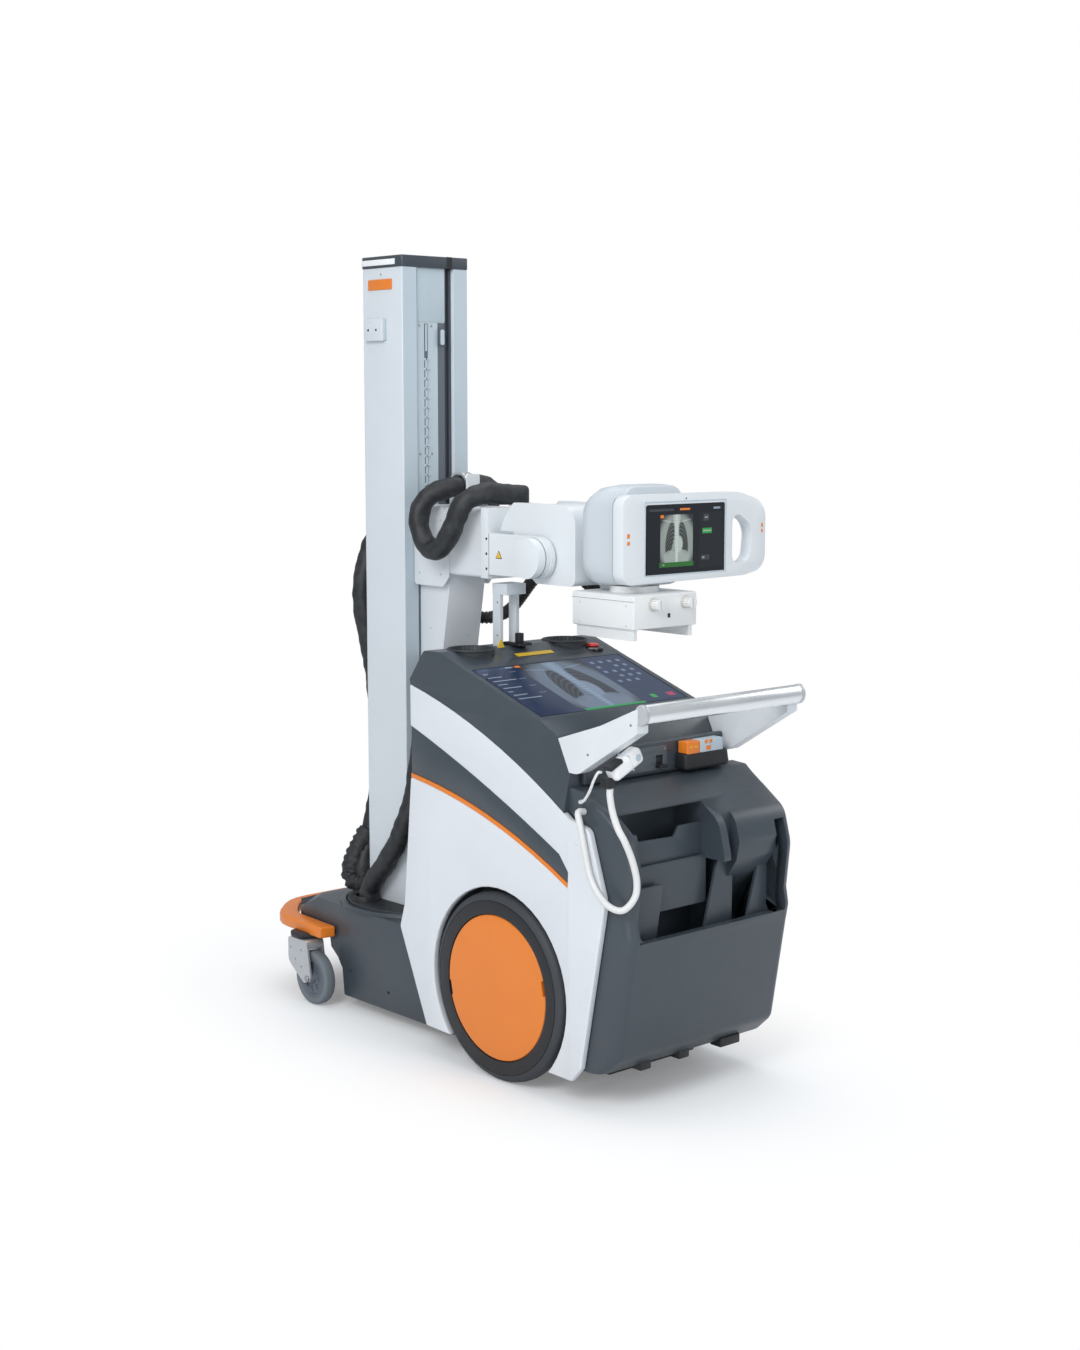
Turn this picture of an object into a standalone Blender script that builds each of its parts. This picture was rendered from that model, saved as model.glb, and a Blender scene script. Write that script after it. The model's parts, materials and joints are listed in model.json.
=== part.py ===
# Portable x-ray machine: a powered trolley with a swivelling column, a telescoping arm and a tube head.
# Metres. X is the operator's right, +Y is the driving front, Z is up from the floor.
# Everything is laid out in the machine's own frame, with x = 0 in its middle plane. The last step
# moves the whole machine so that the floor point under the middle of its bounding box is the origin.

import math

import bpy
import bmesh
from mathutils import Matrix, Vector

MACHINE = "portable_xray_machine"
TOUCH = 0.0003              # gap between pieces that rest on each other
RUNNING_GAP = 0.0006        # gap between pieces that slide or turn on each other
ARC_STEP = math.radians(15)

# Cabinet
SIDE_X = 0.2875             # outer face of a white side panel
SIDE_PANEL_T = 0.018
CORE_X = SIDE_X - SIDE_PANEL_T - TOUCH
SIDE_TOP_ARC = ((0.120, 0.950), (-0.210, 0.838), (-0.474, 0.694))
BAND_TOP_ARC = ((0.111, 0.842), (-0.196, 0.721), (-0.439, 0.606))
STRIPE_ARC = ((0.119, 0.712), (-0.160, 0.655), (-0.468, 0.530))
STRIPE_H = 0.011
BAND_SUNK = 0.003
STRIPE_SUNK = 0.001
CABINET_REAR_Y = -0.485
CABINET_BOTTOM_Z = 0.100

# Console
CONSOLE_FRONT_Y = 0.119
CONSOLE_REAR_Y = -0.455
CONSOLE_TOP_X = 0.268
PLATEAU_Z = 1.037
SCREEN_TOP = (-0.078, 1.002)
SCREEN_BOTTOM = (-0.335, 0.915)
SCREEN_HALF_X = 0.2493
SCREEN_T = 0.006
CUP_X = 0.160
CUP_Y = 0.030
CUP_R = 0.055
CUP_DEPTH = 0.045
STOP_X = 0.205
STOP_Y = -0.030
STOP_R = 0.017

# Rear wheels
WHEEL_R = 0.236
WHEEL_Y = -0.217
WHEEL_OUT_X = 0.2945
WHEEL_W = 0.050
TYRE_H = 0.046              # height of the tyre over its rim
RIM_LIP = 0.0094            # width of the black rim that shows round the disc
RIM_R = WHEEL_R - TYRE_H
DISC_R = RIM_R - RIM_LIP
WELL_GAP = 0.012
WELL_WALL_X = 0.226
AXLE_R = 0.024

# Casters
CASTER_R = 0.075
CASTER_W = 0.032
CASTER_X = 0.243
CASTER_Y = 0.660
CASTER_TRAIL = 0.048
CASTER_BORE_R = 0.006
FORK_TOP_Z = 0.180
FORK_HALF_W = 0.0285
FORK_PLATE_T = 0.006

# Front of the base
BEAM_Z = (0.1840, 0.1970)
COVER_X = 0.205
COVER_TOP_Z = 0.285
NOSE_TURN = math.radians(40)    # the front corners slope down along a line turned this far from Y
NOSE_SLOPE = ((0.580, 0.3214, 0.0), (0.780, 0.1838, 0.0), (0.950, 0.1838, 0.0), (0.950, 0.3214, 0.0))
COVER_UNDER_Z = 0.035
NOSE_UNDER_Z = 0.1973
CASTER_WELL_Y = 0.530
BUMPER_T = 0.024
BUMPER_FRONT_Y = 0.906

# Column
COLUMN_Y = 0.453
COLUMN_X = 0.110
SLOT_FACE_Y = 0.365
COLUMN_BACK_Y = 0.542
COLUMN_TOP_Z = 2.037
CAP_T = 0.030
PLATE_SUNK = 0.008
PLATE_X = (-0.063, 0.037)
GROOVE_X = (0.037, 0.062)
GROOVE_DEPTH = 0.030
TURNTABLE_R = 0.200
TURNTABLE_T = 0.014
RING_W = 0.020
JUNCTION_DROP = 0.163       # from the column's top to the top of the junction box
JUNCTION_H = 0.057
CHAIN_DROP = 0.157          # from the column's top to the upper end of the chain

# Carriage and arm
CARRIAGE_GAP = 0.005
ARM_HALF_X = 0.075
ARM_Z = (1.209, 1.385)
ARM_END_Y = 0.060
ARM_WALL = 0.006
STRAP_X = -0.030
STRAP_Y = 0.2193
STRAP_Z = 1.4390

# Head
TILT_Y = -0.159
TILT_Z = 1.275
FORK_IN_X = 0.0902
FORK_OUT_X = 0.105
BOX_Z = (1.223, 1.327)
CAP_R = 0.050
CAP_OUT_X = 0.145
GLAND_X = 0.122
GLAND_Y = (-0.205, -0.165)
GLAND_Z = 1.176
TRUNNION_R = 0.020
YOKE_X = 0.085
YOKE_Z = (1.209, 1.406)
YOKE_FRONT_Y = -0.275
YOKE_BACK_R = 0.125
CHEEK_BACK_R = 0.172
CHEEK_IN_X = 0.066
ROLL_X = 0.0045
ROLL_Z = 1.330
NECK_R = 0.050
CASING_BACK_Y = -0.302
BEZEL_BACK_Y = -0.440
BEZEL_FRONT_Y = -0.474
LOOP_X = 0.377
BEAM_Y = -0.389
COLLIMATOR_HALF = 0.1065
COLLIMATOR_Z = (1.122, 1.203)
COLLIMATOR_RAIL_Z = 1.096
COLLIMATOR_RING_R = 0.060
CASING_BOTTOM_Z = 1.218
KNOB_R = 0.0135
KNOB_L = 0.028

# Handle
HANDLE_Y = -0.689
HANDLE_Z = 0.960
HANDLE_HALF_L = 0.2347
HANDLE_D = 0.036
HANDLE_H = 0.046
BRACKET_TIP = 0.025           # half the height of a bracket at the handle bar
BRACKET_UNDER = ((HANDLE_Y - 0.020, HANDLE_Z - BRACKET_TIP), (-0.485, 0.7989))

# Hand switch, in its holder under the left bracket
SWITCH_LOW = (-0.284, 0.812)    # x and z of the low end of its axis
SWITCH_HIGH = (-0.176, 0.862)
SWITCH_Y = -0.600
SWITCH_T = 0.034
HOLDER_X = (-0.2942, -0.2460)
HOLDER_WALL = 0.005
HOLDER_BOTTOM_Z = 0.784

# Bin
BIN_X = CORE_X - 0.0003
BIN_LIP = (-0.6465, 0.424)
BIN_WALL = 0.030
BIN_BACK_Y = -0.500
BIN_FLOOR_Z = 0.190
DIVIDER_X = (0.055, 0.108)
TRAY_Z = 0.530
TRAY_FRONT_Y = -0.602
POCKET_WALL = 0.010
RIGHT_BLOCK_X = 0.196

# Cords
BUNDLE_R = 0.027
CONDUIT_R = 0.017
SWITCH_CORD_R = 0.008
THIN_LEAD_R = 0.0033

COLOURS = {
    "white": ((0.70, 0.73, 0.77), 0.45, 0.0),
    "grey": ((0.52, 0.58, 0.63), 0.45, 0.0),
    "slate": ((0.065, 0.075, 0.088), 0.55, 0.0),
    "black": ((0.02, 0.022, 0.025), 0.6, 0.0),
    "orange": ((0.80, 0.24, 0.035), 0.5, 0.0),
    "aluminium": ((0.75, 0.77, 0.79), 0.3, 1.0),
    "steel": ((0.45, 0.46, 0.48), 0.35, 1.0),
    "screen": ((0.01, 0.015, 0.03), 0.15, 0.0),
    "rubber": ((0.12, 0.13, 0.14), 0.7, 0.0),
    "red": ((0.6, 0.03, 0.02), 0.4, 0.0),
}

# Bodies: name, parent, pivot in the machine's frame
BODIES = (
    ("base", None, (0.0, 0.0, 0.0)),
    ("rear_wheel_left", "base", (-WHEEL_OUT_X, WHEEL_Y, WHEEL_R)),
    ("rear_wheel_right", "base", (WHEEL_OUT_X, WHEEL_Y, WHEEL_R)),
    ("caster_left", "base", (-CASTER_X, CASTER_Y, FORK_TOP_Z)),
    ("caster_right", "base", (CASTER_X, CASTER_Y, FORK_TOP_Z)),
    ("caster_wheel_left", "caster_left", (-CASTER_X, CASTER_Y - CASTER_TRAIL, CASTER_R)),
    ("caster_wheel_right", "caster_right", (CASTER_X, CASTER_Y - CASTER_TRAIL, CASTER_R)),
    ("column", "base", (0.0, COLUMN_Y, COVER_TOP_Z)),
    ("carriage", "column", (0.0, SLOT_FACE_Y, ARM_Z[0])),
    ("arm_middle", "carriage", (0.0, ARM_END_Y, ARM_Z[0])),
    ("arm_end", "carriage", (0.0, ARM_END_Y, ARM_Z[0])),
    ("yoke", "arm_end", (0.0, TILT_Y, TILT_Z)),
    ("head", "yoke", (ROLL_X, CASING_BACK_Y, ROLL_Z)),
    ("collimator", "head", (ROLL_X, BEAM_Y, CASING_BOTTOM_Z)),
)
PIVOT = {name: Vector(pivot) for name, parent, pivot in BODIES}

# Plane name to the directions of its first axis, its second axis and its normal
PLANES = {
    "YZ": (Vector((0, 1, 0)), Vector((0, 0, 1)), Vector((1, 0, 0))),
    "XZ": (Vector((1, 0, 0)), Vector((0, 0, 1)), Vector((0, -1, 0))),
    "XY": (Vector((1, 0, 0)), Vector((0, 1, 0)), Vector((0, 0, 1))),
}
SIDES = (("left", -1), ("right", 1))


def clear_scene():
    for item in list(bpy.data.objects):
        bpy.data.objects.remove(item)


def make_collection(name):
    collection = bpy.data.collections.new(name)
    bpy.context.scene.collection.children.link(collection)
    return collection


def make_empties():
    empties = {}
    for name, parent, pivot in BODIES:
        empty = bpy.data.objects.new("body_" + name, None)
        parts.objects.link(empty)
        empty.location = pivot
        if parent:
            empty.parent = empties[parent]
            empty.matrix_parent_inverse = Matrix.Translation(-PIVOT[parent])
        empties[name] = empty
    return empties


def paint(item, finish):
    colour, roughness, metallic = COLOURS[finish]
    material = bpy.data.materials.new(item.name)
    material.use_nodes = True
    shader = material.node_tree.nodes["Principled BSDF"]
    shader.inputs["Base Color"].default_value = (*colour, 1.0)
    shader.inputs["Roughness"].default_value = roughness
    shader.inputs["Metallic"].default_value = metallic
    item.data.materials.append(material)


def place(item, body):
    item.parent = empties[body]
    item.matrix_parent_inverse = Matrix.Translation(-PIVOT[body])


def node(item, body, finish, smooth=35):
    """Turns a loose object into a named node of a body."""
    parts.objects.link(item)
    place(item, body)
    paint(item, finish)
    item.data.shade_smooth()
    item.data.set_sharp_from_angle(angle=math.radians(smooth))
    return item


def tool(item, body="base"):
    """Turns a loose object into a cutter that follows a body."""
    cutters.objects.link(item)
    place(item, body)
    item.hide_render = True
    item.display_type = "WIRE"
    return item


def cut(item, cutter):
    boolean(item, cutter, "DIFFERENCE")


def join(item, other):
    boolean(item, other, "UNION")


def boolean(item, other, operation):
    step = item.modifiers.new(operation.lower(), "BOOLEAN")
    step.operation = operation
    step.solver = "EXACT"
    step.object = other


def bevel(item, width, segments=2, angle=40):
    step = item.modifiers.new("bevel", "BEVEL")
    step.width = width
    step.segments = segments
    step.limit_method = "ANGLE"
    step.angle_limit = math.radians(angle)
    step.use_clamp_overlap = True


def mesh_object(name, mesh):
    return bpy.data.objects.new(name, mesh)


def box(name, low, high):
    """A box between two corners."""
    low = Vector(low)
    high = Vector(high)
    size = high - low
    mesh = bpy.data.meshes.new(name)
    shape = bmesh.new()
    place_matrix = Matrix.Translation((low + high) / 2) @ Matrix.Diagonal((*size, 1.0))
    bmesh.ops.create_cube(shape, size=1.0, matrix=place_matrix)
    shape.to_mesh(mesh)
    shape.free()
    return mesh_object(name, mesh)


def turn_to(direction):
    return Vector((0, 0, 1)).rotation_difference(Vector(direction)).to_matrix().to_4x4()


def rod(name, start, end, radius, sides=24, end_radius=None):
    """A cylinder or a cone between two points."""
    start = Vector(start)
    end = Vector(end)
    mesh = bpy.data.meshes.new(name)
    shape = bmesh.new()
    bmesh.ops.create_cone(
        shape, cap_ends=True, segments=sides, radius1=radius,
        radius2=radius if end_radius is None else end_radius, depth=(end - start).length,
        matrix=Matrix.Translation((start + end) / 2) @ turn_to(end - start))
    shape.to_mesh(mesh)
    shape.free()
    return mesh_object(name, mesh)


def fix_mesh(curve_object, weld=0.00005):
    """Replaces a loose curve or modified object by its own welded mesh, in the machine's frame."""
    bpy.context.scene.collection.objects.link(curve_object)
    bpy.context.view_layer.update()
    seen = curve_object.evaluated_get(bpy.context.evaluated_depsgraph_get())
    mesh = bpy.data.meshes.new_from_object(seen)
    mesh.transform(curve_object.matrix_world)
    name = curve_object.name
    bpy.data.objects.remove(curve_object)
    shape = bmesh.new()
    shape.from_mesh(mesh)
    bmesh.ops.remove_doubles(shape, verts=shape.verts, dist=weld)
    bmesh.ops.recalc_face_normals(shape, faces=shape.faces)
    shape.to_mesh(mesh)
    shape.free()
    return mesh_object(name, mesh)


def rounded(rows):
    """Outline rows of first axis, second axis and corner radius, with arcs in place of the corners."""
    points = []
    for index, (u, v, radius) in enumerate(rows):
        corner = Vector((u, v))
        if radius <= 0:
            points.append(corner)
            continue
        back = (Vector(rows[index - 1][:2]) - corner).normalized()
        ahead = (Vector(rows[(index + 1) % len(rows)][:2]) - corner).normalized()
        half = back.angle(ahead) / 2
        centre = corner + (back + ahead).normalized() * radius / math.sin(half)
        start = corner + back * radius / math.tan(half) - centre
        end = corner + ahead * radius / math.tan(half) - centre
        first = math.atan2(start.y, start.x)
        sweep = math.atan2(end.y, end.x) - first
        sweep = (sweep + math.pi) % (2 * math.pi) - math.pi
        steps = max(2, math.ceil(abs(sweep) / ARC_STEP))
        for step in range(steps + 1):
            angle = first + sweep * step / steps
            points.append(centre + Vector((math.cos(angle), math.sin(angle))) * radius)
    return points


def grown(rows, distance):
    """The same outline moved outward by a distance."""
    corners = [Vector(row[:2]) for row in rows]
    area = sum(a.x * b.y - a.y * b.x for a, b in zip(corners, corners[1:] + corners[:1]))
    turn = 1 if area > 0 else -1
    moved = []
    for index, (u, v, radius) in enumerate(rows):
        before = corners[index] - corners[index - 1]
        after = corners[(index + 1) % len(rows)] - corners[index]
        one = Vector((before.y, -before.x)).normalized() * turn
        two = Vector((after.y, -after.x)).normalized() * turn
        shift = (one + two) / (1 + one.dot(two)) * distance
        outward = (before.x * after.y - before.y * after.x) * turn > 0
        bend = max(0.0, radius + (distance if outward else -distance)) if radius > 0 else 0.0
        moved.append((u + shift.x, v + shift.y, bend))
    return moved


def circle_through(arc):
    (ax, ay), (bx, by), (cx, cy) = arc
    twice = 2 * (ax * (by - cy) + bx * (cy - ay) + cx * (ay - by))
    a2 = ax * ax + ay * ay
    b2 = bx * bx + by * by
    c2 = cx * cx + cy * cy
    ux = (a2 * (by - cy) + b2 * (cy - ay) + c2 * (ay - by)) / twice
    uy = (a2 * (cx - bx) + b2 * (ax - cx) + c2 * (bx - ax)) / twice
    return Vector((ux, uy)), math.hypot(ax - ux, ay - uy)


def arc_height(arc, along):
    """Height of a shallow arc, given by three points, above a place along it."""
    centre, radius = circle_through(arc)
    bulge = math.sqrt(radius * radius - (along - centre.x) ** 2)
    upward = arc[1][1] > centre.y
    return centre.y + (bulge if upward else -bulge)


def arc_rows(arc, start, end, lift=0.0, count=10):
    """Outline rows along a shallow arc."""
    rows = []
    for step in range(count + 1):
        along = start + (end - start) * step / count
        rows.append((along, arc_height(arc, along) + lift, 0.0))
    return rows


def plate(name, rows, plane, low, high):
    """A flat outline pushed from one height to another along its plane's normal axis."""
    first, second, normal = PLANES[plane]
    curve = bpy.data.curves.new(name, "CURVE")
    curve.dimensions = "2D"
    curve.fill_mode = "BOTH"
    curve.extrude = (high - low) / 2
    points = rounded(rows)
    spline = curve.splines.new("POLY")
    spline.points.add(len(points) - 1)
    spline.use_cyclic_u = True
    for target, point in zip(spline.points, points):
        target.co = (point.x, point.y, 0.0, 1.0)
    item = bpy.data.objects.new(name, curve)
    middle = Vector([abs(part) for part in normal]) * (low + high) / 2
    turn = Matrix((first, second, normal)).transposed().to_4x4()
    item.matrix_world = Matrix.Translation(middle) @ turn
    return fix_mesh(item)


def turned(name, profile, centre, direction, steps=36):
    """A turned shape: rows of radius and height, down the outer side, about a line through a centre."""
    mesh = bpy.data.meshes.new(name)
    shape = bmesh.new()
    corners = [shape.verts.new((radius, 0.0, height)) for radius, height in profile]
    for start, end in zip(corners, corners[1:]):
        shape.edges.new((start, end))
    on_axis = profile[0][0] < 1e-6 and profile[-1][0] < 1e-6
    if not on_axis:
        shape.edges.new((corners[-1], corners[0]))
    shape.to_mesh(mesh)
    shape.free()
    item = mesh_object(name, mesh)
    screw = item.modifiers.new("turn", "SCREW")
    screw.steps = steps
    screw.render_steps = steps
    screw.use_merge_vertices = True
    screw.merge_threshold = 0.0001
    screw.use_normal_calculate = True
    item.matrix_world = Matrix.Translation(Vector(centre)) @ turn_to(direction)
    return fix_mesh(item)


def smooth_path(points, spacing):
    """Evenly spaced points on a smooth curve through the given points."""
    guide = [Vector(point) for point in points]
    guide = [guide[0] * 2 - guide[1]] + guide + [guide[-1] * 2 - guide[-2]]
    dense = []
    for before, start, end, after in zip(guide, guide[1:], guide[2:], guide[3:]):
        for step in range(12):
            t = step / 12
            dense.append(0.5 * (2 * start + (end - before) * t
                                + (2 * before - 5 * start + 4 * end - after) * t * t
                                + (3 * start - before - 3 * end + after) * t * t * t))
    dense.append(guide[-2])
    total = sum((b - a).length for a, b in zip(dense, dense[1:]))
    count = max(4, round(total / spacing))
    result = [dense[0]]
    target = total / count
    walked = 0.0
    for a, b in zip(dense, dense[1:]):
        length = (b - a).length
        while walked + length >= target - 1e-9 and len(result) < count:
            result.append(a.lerp(b, (target - walked) / length))
            target += total / count
        walked += length
    result.append(dense[-1])
    for end, inner, ahead in ((0, 1, guide[2]), (-1, -2, guide[-3])):
        reach = (result[inner] - result[end]).length
        result[inner] = result[end] + (ahead - result[end]).normalized() * reach
    return result


def tube(name, points, radius, resolution=2, spacing=2.5):
    """A cord or a bent rod along a smooth path."""
    path = smooth_path(points, 2 * radius * spacing)
    curve = bpy.data.curves.new(name, "CURVE")
    curve.dimensions = "3D"
    curve.bevel_depth = radius
    curve.bevel_resolution = resolution
    curve.use_fill_caps = True
    spline = curve.splines.new("POLY")
    spline.points.add(len(path) - 1)
    for target, point in zip(spline.points, path):
        target.co = (*point, 1.0)
    return bpy.data.objects.new(name, curve)


def add_tube(name, points, radius, body, finish, resolution=2, spacing=2.5):
    item = tube(name, points, radius, resolution, spacing)
    parts.objects.link(item)
    place(item, body)
    paint(item, finish)
    return item


# Cabinet

def side_rows():
    """Outline of a side panel in Y and Z, with the wheel arch still closed."""
    rows = arc_rows(SIDE_TOP_ARC, SIDE_TOP_ARC[0][0], SIDE_TOP_ARC[2][0])
    rows += [
        (-0.540, 0.680, 0.025),
        (-0.595, 0.514, 0.060),
        (-0.516, 0.104, 0.015),
        (-0.483, 0.067, 0.004),
        (-0.039, 0.072, 0.0),
        (0.063, 0.075, 0.006),
        (0.170, 0.316, 0.020),
        (0.150, 0.380, 0.040),
        (CONSOLE_FRONT_Y, 0.718, 0.0),
    ]
    return rows


def band_rows(bottom_lift, top_lift, tip, front):
    """Outline of the sunk band between its lower arc and its upper arc."""
    rows = arc_rows(STRIPE_ARC, front, STRIPE_ARC[2][0] + tip, bottom_lift)
    rows += [(-0.470 + tip, 0.568, 0.006)]
    rows += arc_rows(BAND_TOP_ARC, BAND_TOP_ARC[2][0], front, top_lift)
    return rows


def make_sides():
    for side, sign in SIDES:
        inner = sign * (SIDE_X - SIDE_PANEL_T)
        outer = sign * SIDE_X
        low, high = sorted((inner, outer))
        panel = plate("side_panel_" + side, side_rows(), "YZ", low, high)
        node(panel, "base", "white")
        notch = tool(plate("notch_" + side, band_rows(0, 0, 0, 0.17), "YZ", low - 0.01, high + 0.01))
        arch = tool(rod("arch_" + side, (low - 0.01, WHEEL_Y, WHEEL_R), (high + 0.01, WHEEL_Y, WHEEL_R),
                        WHEEL_R + WELL_GAP, sides=48))
        cut(panel, notch)
        cut(panel, arch)

        stripe_low = arc_rows(STRIPE_ARC, CONSOLE_FRONT_Y - 0.001, STRIPE_ARC[2][0] + 0.001, TOUCH)
        stripe_top = arc_rows(STRIPE_ARC, STRIPE_ARC[2][0] + 0.001, CONSOLE_FRONT_Y - 0.001, STRIPE_H)
        low, high = sorted((inner, sign * (SIDE_X - STRIPE_SUNK)))
        node(plate("stripe_" + side, stripe_low + stripe_top, "YZ", low, high), "base", "orange")

        low, high = sorted((inner, sign * (SIDE_X - BAND_SUNK)))
        rows = band_rows(STRIPE_H + TOUCH, -TOUCH, 0.0008, CONSOLE_FRONT_Y - 0.001)
        node(plate("side_band_" + side, rows, "YZ", low, high), "base", "slate")


def make_core():
    rows = arc_rows(SIDE_TOP_ARC, 0.113, CABINET_REAR_Y + 0.030)
    rows += [
        (CABINET_REAR_Y, 0.680, 0.010),
        (CABINET_REAR_Y, CABINET_BOTTOM_Z, 0.010),
        (0.066, CABINET_BOTTOM_Z, 0.006),
        (0.163, 0.316, 0.020),
        (0.143, 0.380, 0.040),
        (0.113, 0.718, 0.0),
    ]
    core = node(plate("cabinet_core", rows, "YZ", -CORE_X, CORE_X), "base", "slate")
    for side, sign in SIDES:
        well = tool(rod("well_" + side, (sign * WELL_WALL_X, WHEEL_Y, WHEEL_R),
                        (sign * (SIDE_X + 0.02), WHEEL_Y, WHEEL_R), WHEEL_R + WELL_GAP, sides=48))
        cut(core, well)
    pocket = tool(box("battery_pocket", (-0.1803, -0.4203, 0.08), (0.1803, 0.0203, 0.3003)))
    cut(core, pocket)
    node(box("battery_block", (-0.180, -0.420, 0.075), (0.180, 0.020, 0.300)), "base", "black")


def make_console():
    slope = (SCREEN_TOP[1] - SCREEN_BOTTOM[1]) / (SCREEN_TOP[0] - SCREEN_BOTTOM[0])
    angle = math.atan(slope)
    rows = arc_rows(SIDE_TOP_ARC, CONSOLE_FRONT_Y, CONSOLE_REAR_Y, TOUCH)
    rows += [
        (CONSOLE_REAR_Y, 0.800, 0.006),
        (-0.415, 0.880, 0.020),
        (-0.352, SCREEN_BOTTOM[1] - slope * 0.017, 0.010),
        ((PLATEAU_Z - SCREEN_TOP[1]) / slope + SCREEN_TOP[0], PLATEAU_Z, 0.020),
        (0.092, PLATEAU_Z, 0.018),
        (0.1215, 0.962, 0.010),
    ]
    top = plate("console_top", rows, "YZ", -(SIDE_X - 0.0015), SIDE_X - 0.0015)
    for corner in top.data.vertices:
        if corner.co.z > arc_height(SIDE_TOP_ARC, corner.co.y) + 0.020:
            corner.co.x *= CONSOLE_TOP_X / SIDE_X
    node(top, "base", "slate")
    bevel(top, 0.010, 2, 50)

    middle = (Vector((0, *SCREEN_TOP)) + Vector((0, *SCREEN_BOTTOM))) / 2
    half_y = (Vector(SCREEN_TOP) - Vector(SCREEN_BOTTOM)).length / 2
    lean = Matrix.Translation(middle) @ Matrix.Rotation(angle, 4, "X")
    seat = box("screen_seat", (-SCREEN_HALF_X - TOUCH, -half_y - TOUCH, -SCREEN_T - TOUCH),
               (SCREEN_HALF_X + TOUCH, half_y + TOUCH, 0.02))
    seat.data.transform(lean)
    cut(top, tool(seat))
    screen = box("console_screen", (-SCREEN_HALF_X, -half_y, -SCREEN_T), (SCREEN_HALF_X, half_y, -0.001))
    screen.data.transform(lean)
    node(screen, "base", "screen")

    for side, sign in SIDES:
        cup = rod("cup_" + side, (sign * CUP_X, CUP_Y, PLATEAU_Z - CUP_DEPTH),
                  (sign * CUP_X, CUP_Y, PLATEAU_Z + 0.02), CUP_R, sides=32)
        cut(top, tool(cup))

    surface = SCREEN_TOP[1] + slope * (STOP_Y - SCREEN_TOP[0])
    flat = tool(rod("stop_seat", (STOP_X, STOP_Y, surface - 0.004), (STOP_X, STOP_Y, surface + 0.03),
                    STOP_R + 0.006, sides=24))
    cut(top, flat)
    stop = turned("stop_button", ((0.0, 0.024), (0.6 * STOP_R, 0.0235), (STOP_R, 0.019), (STOP_R, 0.013),
                                  (0.6 * STOP_R, 0.009), (STOP_R + 0.004, 0.006),
                                  (STOP_R + 0.004, 0.0), (0.0, 0.0)),
                  (STOP_X, STOP_Y, surface - 0.004 + TOUCH), (0, 0, 1), 24)
    node(stop, "base", "red")


def make_dock():
    post = box("dock_post", (-0.060, 0.000, PLATEAU_Z + TOUCH), (-0.040, 0.046, 1.175))
    far = tool(box("dock_far", (0.040, 0.000, PLATEAU_Z + TOUCH), (0.060, 0.046, 1.175)))
    head = tool(box("dock_head", (-0.060, -0.042, 1.170), (0.060, 0.048, 1.198)))
    node(post, "base", "aluminium")
    join(post, head)
    join(post, far)


# Rear

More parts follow.
